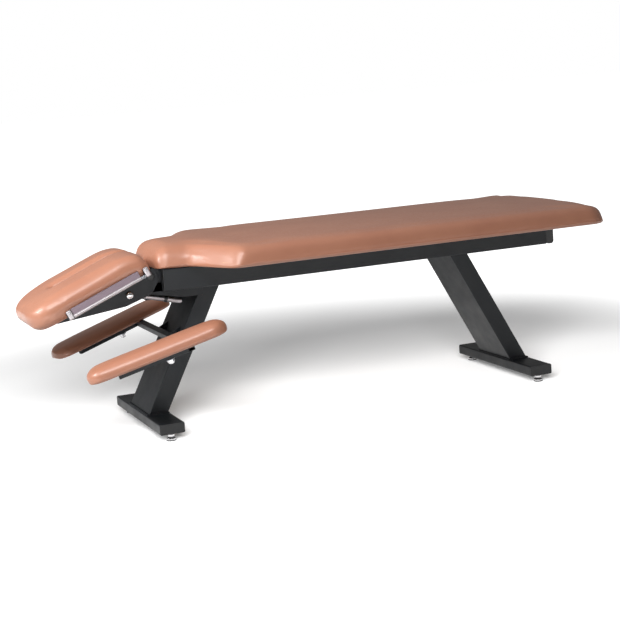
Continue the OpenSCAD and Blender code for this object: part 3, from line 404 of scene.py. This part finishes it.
def makeBead(long, look):
    # a rippled rod along Z, made for itself and kept as a mesh
    bm = bmesh.new()
    bmesh.ops.create_cone(bm, cap_ends=True, segments=look["segments"], radius1=look["beadR"],
                          radius2=look["beadR"], depth=long)
    sides = [e for e in bm.edges if abs(e.verts[0].co.z - e.verts[1].co.z) > long / 2]
    bmesh.ops.subdivide_edges(bm, edges=sides, cuts=round(long / look["step"]), use_grid_fill=True)
    for v in bm.verts:
        phase = math.tau * v.co.z * 1000 / look["rippleMm"] + v.co.x / look["beadR"]
        wider = 1 + look["ripple"] / look["beadR"] * math.sin(phase)
        v.co.x *= wider
        v.co.y *= wider
    mesh = bpy.data.meshes.new("bead")
    bm.to_mesh(mesh)
    bm.free()
    return mesh


def makeWelds(end, look=weldLook):
    low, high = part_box(end + "_foot")
    middle = Vector(((low.x + high.x) / 2, 0, high.z))
    bm = bmesh.new()
    for turn, reach, aside in (("X", look["legSide"], Vector((look["legHalf"], 0, 0))),
                               ("Y", look["legHalf"], Vector((0, look["legSide"], 0)))):
        bead = makeBead(2 * reach, look)
        for way in (-1, 1):
            placed = bead.copy()
            placed.transform(Matrix.Translation(middle + way * aside) @ Matrix.Rotation(math.pi / 2, 4, turn))
            bm.from_mesh(placed)
            bpy.data.meshes.remove(placed)
        bpy.data.meshes.remove(bead)
    finishPiece(end + "_leg_welds", bm, powderCoat, "frame")


makeWelds("front")
makeWelds("rear")


# Solids that are kept as they are and only get their material

keptGroups = [
    (zincPlate, ["leveller_nuts", "pivot_shaft", "lock_bolt", "left_arm_bolt", "right_arm_bolt"]),
    (chromePlate, ["left_clamp_rod", "right_clamp_rod"]),
    (bronze, ["pivot_bushes"]),
    (birchPly, ["body_board", "head_board", "left_arm_board", "right_arm_board"]),
]
for material, nodes in keptGroups:
    for node in nodes:
        slots = frame["nodes"][node].data.materials
        slots.clear()
        slots.append(material)
print("rigid pieces finished")


# Cushions: a box of quads shaped to each cushion's own section, then swollen by a short simulation

def boxOfQuads(cells, size=2):
    # a box from -1 to 1 on each axis, with so many quads along each
    bm = bmesh.new()
    bmesh.ops.create_cube(bm, size=size)
    for axis, count in enumerate(cells):
        whole = [e for e in bm.edges if abs((e.verts[0].co - e.verts[1].co)[axis]) > size * 0.99]
        bmesh.ops.subdivide_edges(bm, edges=whole, cuts=count - 1, use_grid_fill=True)
    return bm


def roundFall(radius, distance):
    # fall of a quarter round at a distance in from its edge
    if distance >= radius:
        return 0.0
    return radius - math.sqrt(max(0.0, radius * radius - (radius - distance) ** 2))


def longFall(long, deep, distance):
    # the same, stretched to a length and a depth of its own
    return roundFall(long, distance) * deep / long


def smoothStep(t):
    t = min(1.0, max(0.0, t))
    return t * t * (3 - 2 * t)


def spread(start, end, cells, gather=0.6):
    # places from start to end, closer together near both
    out = []
    for i in range(cells + 1):
        t = i / cells * 2 - 1
        t = (1 - gather) * t + gather * math.sin(t * math.pi / 2)
        out.append(start + (end - start) * (t + 1) / 2)
    return out


bodyLook = {
    "front": 0.017, "rear": 1.3755,         # its ends, back from the headpiece's pivot
    "width": 0.636, "neck": 0.274, "neckRoot": 0.304, "neckLong": 0.083, "rootRun": 1.3,
    "flareLow": (0.079, 0.107), "flareTop": (0.083, 0.124),     # where the shoulders widen: start and length
    "flareUp": 0.060,                       # the low flare turns into the top one over this height
    "neckFade": (0.12, 0.16),               # the neck's own rounding fades out: start and length
    "neckCorner": 0.030, "corner": 0.062, "height": 0.0635, "neckRise": 0.0045, "crown": 0.006,
    "edge": 0.038, "neckEdge": 0.052, "frontEdge": 0.040, "draw": 0.006,
    "tailRun": 0.075, "tailDrop": 0.030, "liftRun": 0.024, "lift": 0.012, "boardIn": 0.014,
    "cells": (124, 58, 6), "gather": (0.62, 0.55),
    "fill": 0.9, "most": 0.003, "pinned": 0.010,
}
headLook = {
    "reach": 0.3565, "tail": 0.008,         # its ends, ahead of the pivot and behind it
    "seat": 0.018, "width": 0.295, "height": 0.0748, "crown": 0.004,
    "edge": 0.036, "draw": 0.008, "corner": 0.068, "tailCorner": 0.026, "tipRun": 0.145, "tipDrop": 0.0275,
    "liftRun": 0.030, "lift": 0.022, "endRun": 0.080, "endDrop": 0.038,
    "slotHalf": 0.0122, "slotEnd": 0.246, "lip": 0.019, "lipDeep": 0.016,
    "boardIn": 0.010, "boardTip": 0.016, "boardTail": 0.004,    # where the board ends inside the skin
    "cells": (26, 8), "gather": 0.7,
    "alongTip": (22, 0.5), "alongSlotEnd": (6, 0.8), "alongSlot": (44, 0.5),    # cells and how they gather
    "fill": 0.9, "most": 0.002, "pinned": 0.026,
}
armLook = {
    "length": 0.406, "tail": 0.176, "width": 0.105, "height": 0.036, "crown": 0.003, "edge": 0.024,
    "draw": 0.004, "corner": 0.046, "tipRun": 0.040, "tipDrop": 0.019, "liftRun": 0.014, "lift": 0.006,
    "seat": 0.001, "boardIn": 0.013, "hideShare": 0.6, "cells": (56, 22, 5), "gather": (0.75, 0.6),
    "fill": 0.9, "most": 0.002, "pinned": 0.010,
}
drawPower = 3.2           # how the pull towards the board fades up a cushion's side
roundShare = 0.93         # the most of a cushion's height that its rounding takes
boardHide = 0.0143        # how deep the skin goes into the board, where it doesn't show
boardTurn = 0.007         # how far past the board's edge the skin turns up
onPlane = 1e-6            # nearer than this is on it


def endCrown(x, low, high, run):
    # the crown's share, which dies away towards both ends
    return math.sqrt(max(0.0, min(1.0, min(x - low, high - x) / run)))


def topAt(y, half, top, low, edge, crown):
    # height of a cushion's upper face at y on a section
    radius = min(edge, (top - low) * roundShare, half * roundShare)
    d = half - abs(y)
    if d < radius:
        return top - roundFall(radius, d)
    return top + crown * (1 - (y / (half - radius)) ** 2)


def underside(d, boardIn):
    # the skin turns up into the board's space once it is past the board's edge
    return boardHide * smoothStep((d - boardIn) / boardTurn)


def bodyHalf(x, flare):
    # half the body cushion's width at x
    look = bodyLook
    start, long = look[flare]
    past = x - look["front"]
    root = (look["neckRoot"] - look["neck"]) / 2 * smoothStep(past / look["neckLong"] / look["rootRun"])
    shoulder = (look["width"] - look["neckRoot"]) / 2 * smoothStep((past - start) / long)
    return (look["neck"] / 2 + root + shoulder
            - roundFall(look["neckCorner"], past) - roundFall(look["corner"], look["rear"] - x))


def neckShare(x):
    # 1 along the neck, 0 past the shoulders
    start, long = bodyLook["neckFade"]
    return 1 - smoothStep((x - start) / long)


def bodyTop(x):
    look = bodyLook
    return (look["height"] - look["crown"] + look["neckRise"] * neckShare(x)
            - roundFall(look["frontEdge"], x - look["front"])
            - longFall(look["tailRun"], look["tailDrop"], look["rear"] - x))


def shapeBody():
    look = bodyLook
    nx, ny, nz = look["cells"]
    xs = spread(look["front"], look["rear"], nx, look["gather"][0])
    ys = spread(-1, 1, ny, look["gather"][1])
    bm = boxOfQuads(look["cells"])
    for v in bm.verts:
        i = round((v.co.x + 1) / 2 * nx)
        j = round((v.co.y + 1) / 2 * ny)
        h = (v.co.z + 1) / 2
        pull = look["draw"] * (1 - h) ** drawPower
        x = xs[i]
        half = bodyHalf(x, "flareTop")
        wider = bodyHalf(x, "flareLow") / half - 1
        y = ys[j] * half
        low = longFall(look["liftRun"], look["lift"], look["rear"] - x)
        crown = look["crown"] * endCrown(x, look["front"], look["rear"], look["neckLong"])
        edge = look["edge"] + (look["neckEdge"] - look["edge"]) * neckShare(x)
        z = low + (topAt(y, half, bodyTop(x), low, edge, crown) - low) * h
        wider *= 1 - smoothStep(z / look["flareUp"])
        if h < onPlane:
            z += underside(min((half - abs(y)) * (1 + wider), x - look["front"], look["rear"] - x),
                           look["boardIn"])
        y = ys[j] * (half - pull) * (1 + wider)
        v.co = (pivot.x + x, y, frameTop + z)
    return bm


def headHalf(x):
    look = headLook
    return look["width"] / 2 - roundFall(look["corner"], x + look["reach"]) - roundFall(
        look["tailCorner"], look["tail"] - x)


def headTop(x):
    look = headLook
    return (look["height"] - look["crown"] - longFall(look["tipRun"], look["tipDrop"], x + look["reach"])
            - longFall(look["endRun"], look["endDrop"], look["tail"] - x))


def shapeHead():
    # one half beside the slot, mirrored and joined ahead of it
    look = headLook
    slotHalf = look["slotHalf"]
    centre = slotHalf - look["slotEnd"]            # centre of the slot's round end
    xs = (spread(-look["reach"], -look["slotEnd"], *look["alongTip"])[:-1]
          + spread(-look["slotEnd"], centre, *look["alongSlotEnd"])[:-1]
          + spread(centre, look["tail"], *look["alongSlot"]))
    nx = len(xs) - 1
    ny, nz = look["cells"]
    bm = boxOfQuads((nx, ny, nz))
    ts = [t / 2 + 0.5 for t in spread(-1, 1, ny, look["gather"])]
    for v in bm.verts:
        i = round((v.co.x + 1) / 2 * nx)
        j = round((v.co.y + 1) / 2 * ny)
        h = (v.co.z + 1) / 2
        pull = look["draw"] * (1 - h) ** drawPower
        x = xs[i]
        half = headHalf(x)
        if x <= -look["slotEnd"] + onPlane:
            start = 0.0
        elif x < centre:
            start = math.sqrt(max(0.0, slotHalf ** 2 - (x - centre) ** 2))
        else:
            start = slotHalf
        y = start + (half - start) * ts[j]
        low = longFall(look["liftRun"], look["lift"], x + look["reach"])
        crown = look["crown"] * endCrown(x, -look["reach"], look["tail"], look["edge"])
        top = topAt(y, half, headTop(x), low, look["edge"], crown)
        past = math.hypot(min(0.0, x - centre), y) - slotHalf     # distance out from the slot
        top -= look["lipDeep"] * roundFall(1, min(1.0, max(0.0, past / look["lip"])))
        z = low + (top - low) * h
        if h < onPlane:
            z += underside(min(half - y, x + look["reach"] - look["boardTip"],
                               look["tail"] - x + look["boardTail"], past + look["boardIn"]), look["boardIn"])
        y = start + (half - pull - start) * ts[j]
        v.co = (x, y, look["seat"] + z)
    joint = [f for f in bm.faces if all(abs(v.co.y) < onPlane for v in f.verts)]
    bmesh.ops.delete(bm, geom=joint, context="FACES_KEEP_BOUNDARY")
    bmesh.ops.mirror(bm, geom=bm.verts[:] + bm.edges[:] + bm.faces[:], axis="Y", merge_dist=onPlane)
    bmesh.ops.remove_doubles(bm, verts=bm.verts, dist=onPlane)
    bmesh.ops.recalc_face_normals(bm, faces=bm.faces)
    bmesh.ops.transform(bm, matrix=headFrame, verts=bm.verts)
    return bm


def shapeArm(side):
    look = armLook
    nx, ny, nz = look["cells"]
    front, rear = look["tail"] - look["length"], look["tail"]
    xs = spread(front, rear, nx, look["gather"][0])
    ys = spread(-1, 1, ny, look["gather"][1])
    bm = boxOfQuads(look["cells"])
    for v in bm.verts:
        i = round((v.co.x + 1) / 2 * nx)
        j = round((v.co.y + 1) / 2 * ny)
        h = (v.co.z + 1) / 2
        pull = look["draw"] * (1 - h) ** drawPower
        x = xs[i]
        d = min(x - front, rear - x)
        half = look["width"] / 2 - roundFall(look["corner"], d)
        low = longFall(look["liftRun"], look["lift"], d)
        top = look["height"] - look["crown"] - longFall(look["tipRun"], look["tipDrop"], d)
        crown = look["crown"] * endCrown(x, front, rear, look["corner"])
        y = ys[j] * half
        z = low + (topAt(y, half, top, low, look["edge"], crown) - low) * h
        if h < onPlane:
            z += underside(min(half - abs(y), d), look["boardIn"]) * look["hideShare"]
        y = ys[j] * (half - pull)
        v.co = (x, y, look["seat"] + z)
    bmesh.ops.transform(bm, matrix=armFrame(side), verts=bm.verts)
    return bm


swellLook = {"pressure": 4.0, "frames": 20, "quality": 4, "mass": 0.3, "stretch": 12, "bend": 2}


def swell(piece, most, still, look=swellLook):
    # a short cloth simulation under pressure; no point moves further than most, and still ones not at all
    mesh = piece.data
    start = [v.co.copy() for v in mesh.vertices]
    pins = piece.vertex_groups.new(name="pins")
    pins.add([v.index for v in mesh.vertices if still(v.co)], 1.0, "REPLACE")
    cloth = piece.modifiers.new("swell", "CLOTH")
    cloth.settings.vertex_group_mass = "pins"
    cloth.settings.quality = look["quality"]
    cloth.settings.mass = look["mass"]
    cloth.settings.tension_stiffness = look["stretch"]
    cloth.settings.compression_stiffness = look["stretch"]
    cloth.settings.bending_stiffness = look["bend"]
    cloth.settings.use_pressure = True
    cloth.settings.uniform_pressure_force = look["pressure"]
    cloth.settings.effector_weights.gravity = 0
    cloth.point_cache.frame_start, cloth.point_cache.frame_end = 1, look["frames"]
    for step in range(1, look["frames"] + 1):
        bpy.context.scene.frame_set(step)
    shaped = piece.evaluated_get(bpy.context.evaluated_depsgraph_get()).to_mesh()
    moved = [v.co.copy() for v in shaped.vertices]
    piece.modifiers.remove(cloth)
    piece.vertex_groups.remove(pins)
    bpy.context.scene.frame_set(1)
    for v, a, b in zip(mesh.vertices, start, moved):
        step = b - a
        if step.length > most:
            step.length = most
        v.co = a + step
    furthest = max((b - a).length for a, b in zip(start, moved))
    print(piece.name, "swollen, furthest before the cap", round(furthest * 1000, 1), "mm")


def finishCushion(name, bm, body, node, look, still):
    piece = makeObject(name, bm, vinyl, sharpAngle=80)
    swell(piece, look["most"], still)
    finer = piece.modifiers.new("finer", "SUBSURF")
    finer.levels = finer.render_levels = 1
    declare(piece, body, [node])


headUp = headFrame.to_3x3() @ Vector((0, 0, 1))
armUp = armFrame(-1).to_3x3() @ Vector((0, 0, 1))
headSeat = headFrame @ Vector((0, 0, headLook["seat"]))
finishCushion("body_cushion_skin", shapeBody(), "frame", "body_cushion", bodyLook,
              lambda co: co.z < frameTop + bodyLook["pinned"])
finishCushion("head_cushion_skin", shapeHead(), "headpiece", "head_cushion", headLook,
              lambda co: (co - headSeat).dot(headUp) < headLook["pinned"])
for side, word in ((-1, "left"), (1, "right")):
    seat = armFrame(side).translation
    finishCushion(word + "_arm_pad_skin", shapeArm(side), word + "_armrest", word + "_arm_pad", armLook,
                  lambda co: (co - seat).dot(armUp) < armLook["pinned"])
print("cushions shaped")


# Tilt lever: turned rod, ring and grip on a round hub

leverLook = {
    "hubR": 0.012, "hubW": 0.0136, "hubEase": 0.001, "turns": 32, "hubTurns": 48,
    # along the lever from the hub's axis: radius, place
    "rod": [(0.0060, 0.006), (0.0066, 0.030), (0.0070, 0.060), (0.0072, 0.104), (0.0066, 0.108), (0, 0.108)],
    "ring": [(0, 0.106), (0.0080, 0.106), (0.0088, 0.1068), (0.0088, 0.1148), (0.0080, 0.1156), (0, 0.1156)],
    "grip": [(0, 0.1140), (0.0070, 0.1140), (0.0080, 0.1164), (0.0080, 0.1500), (0.0076, 0.1540),
             (0.0062, 0.1576), (0.0040, 0.1594), (0, 0.1600)],
}
leverPieces = {
    # piece: outline, material, slot, solids that it stands for
    "lever_rod": ("rod", satinNickel, "chrome", ["tilt_lever"]),
    "lever_ring": ("ring", blackPlastic, "plastic", []),
    "lever_handle": ("grip", satinNickel, "brushed_steel", ["lever_grip"]),
}


def makeLever(look=leverLook):
    low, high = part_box("tilt_lever")
    hub = Vector(jointNamed("tilt_lever_turn")["pos_m"])
    hub.y = (low.y + high.y) / 2
    grip = [Vector(v.co) for v in frame["nodes"]["lever_grip"].data.vertices]
    tip = max(grip, key=lambda c: (c - hub).length)
    slope = math.atan2(hub.z - tip.z, tip.x - hub.x)
    along = Matrix.Translation(hub) @ Matrix.Rotation(slope, 4, "Y")
    for name, (outline, material, slotName, stands) in leverPieces.items():
        bm = bmesh.new()
        spinOutline(bm, [(x, 0, r) for r, x in look[outline]], (0, 0, 0), (1, 0, 0), look["turns"])
        bmesh.ops.remove_doubles(bm, verts=bm.verts, dist=onPlane)
        bmesh.ops.holes_fill(bm, edges=[e for e in bm.edges if e.is_boundary], sides=0)
        bmesh.ops.recalc_face_normals(bm, faces=bm.faces)
        if outline == "rod":
            boss = bmesh.ops.create_cone(bm, cap_ends=True, segments=look["hubTurns"], radius1=look["hubR"],
                                         radius2=look["hubR"], depth=look["hubW"])["verts"]
            bmesh.ops.rotate(bm, verts=boss, cent=(0, 0, 0), matrix=Matrix.Rotation(math.pi / 2, 3, "X"))
            rims = [e for e in {e for v in boss for e in v.link_edges} if e.calc_face_angle(0) > 1]
            easeEdges(bm, rims, look["hubEase"])
        bmesh.ops.transform(bm, matrix=along, verts=bm.verts)
        keepFlats(finishPiece(name, bm, material, "tilt_lever_arm", stands=stands))


makeLever()
print("tilt lever made")


# Small screws in the clamp brackets' outer faces

def makeClampScrews(side, word, look=clampLook):
    bm = bmesh.new()
    low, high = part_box(word + "_clamp_brackets")
    outer = max(abs(low.y), abs(high.y))
    for x in look["screwX"]:
        around, up = look["screwQuads"]
        head = bmesh.ops.create_uvsphere(bm, u_segments=around, v_segments=up, radius=look["screwR"])["verts"]
        bmesh.ops.scale(bm, verts=head, vec=(1, look["screwH"] / look["screwR"], 1))
        bmesh.ops.translate(bm, verts=head, vec=(x, side * (outer - pivot.y), look["screwUp"]))
    bmesh.ops.transform(bm, matrix=headFrame, verts=bm.verts)
    finishPiece(word + "_clamp_screws", bm, zincPlate, "headpiece")


makeClampScrews(-1, "left")
makeClampScrews(1, "right")


# Levelling feet: turned cup on a rubber sole, spun round from its outline

levellerLook = {
    # from the floor up: radius, height
    "sole": [(0, 0), (0.0127, 0), (0.0135, 0.0008), (0.0135, 0.0028)],
    "cup": [(0.0135, 0.0028), (0.0131, 0.0031), (0.0131, 0.0070), (0.0122, 0.0080), (0.0080, 0.0104),
            (0.0070, 0.0110)],
    "studR": 0.005, "studFoot": 0.0112, "studEase": 0.0008,
    "flatsLow": 0.012, "flatsHigh": 0.018, "flatsAcross": 0.017, "flatsEase": 0.0006, "turns": 40,
}


def makeLeveller(node, body, look=levellerLook):
    low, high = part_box(node)
    place = Vector(((low.x + high.x) / 2, (low.y + high.y) / 2, 0))
    stud = [(look["studR"], look["studFoot"]), (look["studR"], high.z - look["studEase"]),
            (look["studR"] - look["studEase"], high.z), (0, high.z)]
    bm = bmesh.new()
    spinOutline(bm, [place + Vector((r, 0, z)) for r, z in look["sole"]], place, (0, 0, 1), look["turns"])
    for f in bm.faces:
        f.material_index = 1
    spinOutline(bm, [place + Vector((r, 0, z)) for r, z in look["cup"] + stud], place, (0, 0, 1), look["turns"])
    bmesh.ops.remove_doubles(bm, verts=bm.verts, dist=onPlane)
    bmesh.ops.recalc_face_normals(bm, faces=bm.faces)
    corner = look["flatsAcross"] / math.sqrt(3)
    nut = bmesh.ops.create_cone(bm, cap_ends=True, segments=6, radius1=corner, radius2=corner,
                                depth=look["flatsHigh"] - look["flatsLow"])["verts"]
    bmesh.ops.translate(bm, verts=nut, vec=place + Vector((0, 0, (look["flatsHigh"] + look["flatsLow"]) / 2)))
    easeEdges(bm, list({e for v in nut for e in v.link_edges}), look["flatsEase"])
    keepFlats(finishPiece("turned_" + node, bm, [chromePlate, rubberSole], body, stands=[node]))


for end in ("front", "rear"):
    for word in ("left", "right"):
        makeLeveller(f"leveller_{end}_{word}", f"levelling_foot_{end}_{word}")
print("levelling feet made")


# Coil springs on the clamps' rods, one wire spun along the rod

springLook = {"wireR": 0.0008, "wireSides": 8, "coilR": 0.0041, "turns": 7, "stepsPerTurn": 20}


def makeSpring(side, word):
    look = springLook
    node = word + "_clamp_spring"
    rod = Vector(jointNamed("left_clamp_open")["pos_m"])
    rod.y = side * abs(rod.y)
    toLocal = headFrame.inverted()
    corners = [toLocal @ Vector(v.co) for v in frame["nodes"][node].data.vertices]
    start = min(c.x for c in corners) + look["wireR"]
    end = max(c.x for c in corners) - look["wireR"]
    axis = toLocal @ rod
    bm = bmesh.new()
    ring = bmesh.ops.create_circle(bm, segments=look["wireSides"], radius=look["wireR"],
                                   cap_ends=False)["verts"]
    # the wire's ring stands across the way that the coil goes round
    top = Vector((start, axis.y, axis.z + look["coilR"]))
    bmesh.ops.translate(bm, verts=ring, vec=top)
    bmesh.ops.rotate(bm, verts=ring, cent=top, matrix=Matrix.Rotation(math.pi / 2, 3, "X"))
    steps = look["turns"] * look["stepsPerTurn"]
    bmesh.ops.spin(bm, geom=bm.verts[:] + bm.edges[:], cent=(start, axis.y, axis.z), axis=(1, 0, 0),
                   dvec=((end - start) / steps, 0, 0), angle=math.tau * look["turns"], steps=steps,
                   use_merge=False)
    bmesh.ops.holes_fill(bm, edges=[e for e in bm.edges if e.is_boundary], sides=0)
    bmesh.ops.recalc_face_normals(bm, faces=bm.faces)
    bmesh.ops.transform(bm, matrix=headFrame, verts=bm.verts)
    finishPiece("wound_" + node, bm, zincPlate, "headpiece", stands=[node])


makeSpring(-1, "left")
makeSpring(1, "right")
print("springs wound")


# Camera, fitted to the straight edges in the photograph

cameraLook = {
    "place": (-1.60977, -4.2648, 0.9992), "yaw": 20.7254, "pitch": 9.0223, "roll": -4.3295,
    "lens": 89.19, "sensor": 36.0,
}


def makeCamera(look):
    yaw, pitch, roll = (math.radians(look[k]) for k in ("yaw", "pitch", "roll"))
    ahead = Vector((math.sin(yaw) * math.cos(pitch), math.cos(yaw) * math.cos(pitch), -math.sin(pitch)))
    level = Vector((math.cos(yaw), -math.sin(yaw), 0))
    up = level.cross(ahead)
    right = math.cos(roll) * level + math.sin(roll) * up
    above = -math.sin(roll) * level + math.cos(roll) * up
    data = bpy.data.cameras.new("camera")
    data.lens = look["lens"]
    data.sensor_width = look["sensor"]
    camera = bpy.data.objects.new("camera", data)
    bpy.context.collection.objects.link(camera)
    turn = Matrix((right, above, -ahead)).transposed().to_4x4()
    camera.matrix_world = Matrix.Translation(look["place"]) @ turn
    bpy.context.scene.camera = camera


makeCamera(cameraLook)


# Floor, light and backdrop

stageLook = {
    "floorSize": 80, "floor": "#f2f2f2", "bounce": "#8c8a88", "roughness": 0.9, "specular": 0.1,
    "near": 1.3, "far": 2.6, "liftNear": 0.08, "liftFar": 1.0,    # the floor turns plain white with distance
    "zenith": 0.29, "horizon": 0.095,       # light from the world, by height
    "inGloss": 0.1,                         # how much of the white backdrop shows in gloss
}
lampsLook = {
    # softboxes above and beside the head end's near side, and a low one in front that lights the floor alone
    "key": {"place": (-1.5, -1.2, 2.1), "aim": (-0.6, 0.0, 0.3), "size": (1.3, 1.0), "power": 44,
            "floor": "without"},
    "side": {"place": (-2.6, 0.1, 1.55), "aim": (-0.7, 0.0, 0.45), "size": (1.0, 0.9), "power": 48,
             "floor": "without", "spares": "right_arm_pad_skin"},    # which lies in the headpiece's shade
    "floor": {"place": (-2.1, -4.1, 2.05), "aim": (0.2, 0.5, 0.0), "size": (2.8, 2.4), "power": 760,
              "floor": "only"},
}


def seenDirectly(tree, inGloss=1.0):
    # 1 for rays that show the backdrop: to the camera, through glass and, by a share, in gloss
    rays = addNode(tree, "ShaderNodeLightPath")
    gloss = addNode(tree, "ShaderNodeMath", {0: rays.outputs["Is Glossy Ray"]}, {1: inGloss},
                    operation="MULTIPLY")
    seen = addNode(tree, "ShaderNodeMath", {0: rays.outputs["Is Camera Ray"], 1: gloss.outputs[0]},
                   operation="MAXIMUM")
    through = addNode(tree, "ShaderNodeMath", {0: seen.outputs[0], 1: rays.outputs["Is Transmission Ray"]},
                      operation="MAXIMUM")
    return through.outputs[0]


def makeFloor(look):
    bm = bmesh.new()
    bmesh.ops.create_grid(bm, x_segments=1, y_segments=1, size=look["floorSize"] / 2)
    mesh = bpy.data.meshes.new("floor")
    bm.to_mesh(mesh)
    bm.free()
    material, tree, shader, place = newMaterial("paleFloor")
    shader.inputs["Roughness"].default_value = look["roughness"]
    shader.inputs["Specular IOR Level"].default_value = look["specular"]
    shader.inputs["Emission Color"].default_value = (1, 1, 1, 1)
    seen = seenDirectly(tree)
    tree.links.new(mixedColour(tree, seen, look["bounce"], look["floor"]), shader.inputs["Base Color"])
    away = addNode(tree, "ShaderNodeVectorMath", {0: place}, operation="LENGTH")
    lift = addNode(tree, "ShaderNodeMapRange", {"Value": away.outputs["Value"]},
                   {"From Min": look["near"], "From Max": look["far"], "To Min": look["liftNear"],
                    "To Max": look["liftFar"]}, interpolation_type="SMOOTHSTEP")
    shown = addNode(tree, "ShaderNodeMath", {0: lift.outputs["Result"], 1: seen}, operation="MULTIPLY")
    tree.links.new(shown.outputs[0], shader.inputs["Emission Strength"])
    mesh.materials.append(material)
    floor = bpy.data.objects.new("floor", mesh)
    bpy.context.collection.objects.link(floor)
    return floor


def makeWorld(look):
    world = bpy.data.worlds.new("studio")
    world.use_nodes = True
    tree = world.node_tree
    back = tree.nodes["Background"]
    back.inputs["Color"].default_value = (1, 1, 1, 1)
    around = addNode(tree, "ShaderNodeTexCoord").outputs["Generated"]
    height = addNode(tree, "ShaderNodeSeparateXYZ", {0: around})
    sky = addNode(tree, "ShaderNodeMapRange", {"Value": height.outputs["Z"]},
                  {"To Min": look["horizon"], "To Max": look["zenith"]})
    level = addNode(tree, "ShaderNodeMapRange", {"Value": seenDirectly(tree, look["inGloss"]),
                                                 "To Min": sky.outputs["Result"]}, {"To Max": 1.0})
    tree.links.new(level.outputs["Result"], back.inputs["Strength"])
    bpy.context.scene.world = world


def makeLamp(name, look, floor):
    data = bpy.data.lights.new(name, "AREA")
    data.shape = "RECTANGLE"
    data.size, data.size_y = look["size"]
    data.energy = look["power"]
    lamp = bpy.data.objects.new(name, data)
    bpy.context.collection.objects.link(lamp)
    lamp.location = look["place"]
    lamp.rotation_euler = (Vector(look["aim"]) - Vector(look["place"])).to_track_quat("-Z", "Y").to_euler()
    reach = bpy.data.collections.new(name + "Reach")
    reach.objects.link(floor)
    linked = {"only": "INCLUDE", "without": "EXCLUDE"}[look["floor"]]
    if "spares" in look:
        reach.objects.link(bpy.data.objects[look["spares"]])
    for member in reach.collection_objects:
        member.light_linking.link_state = linked
    lamp.light_linking.receiver_collection = reach


floor = makeFloor(stageLook)
makeWorld(stageLook)
for name, look in lampsLook.items():
    makeLamp(name, look, floor)
bpy.context.scene.view_settings.view_transform = "Standard"
print("stage set")
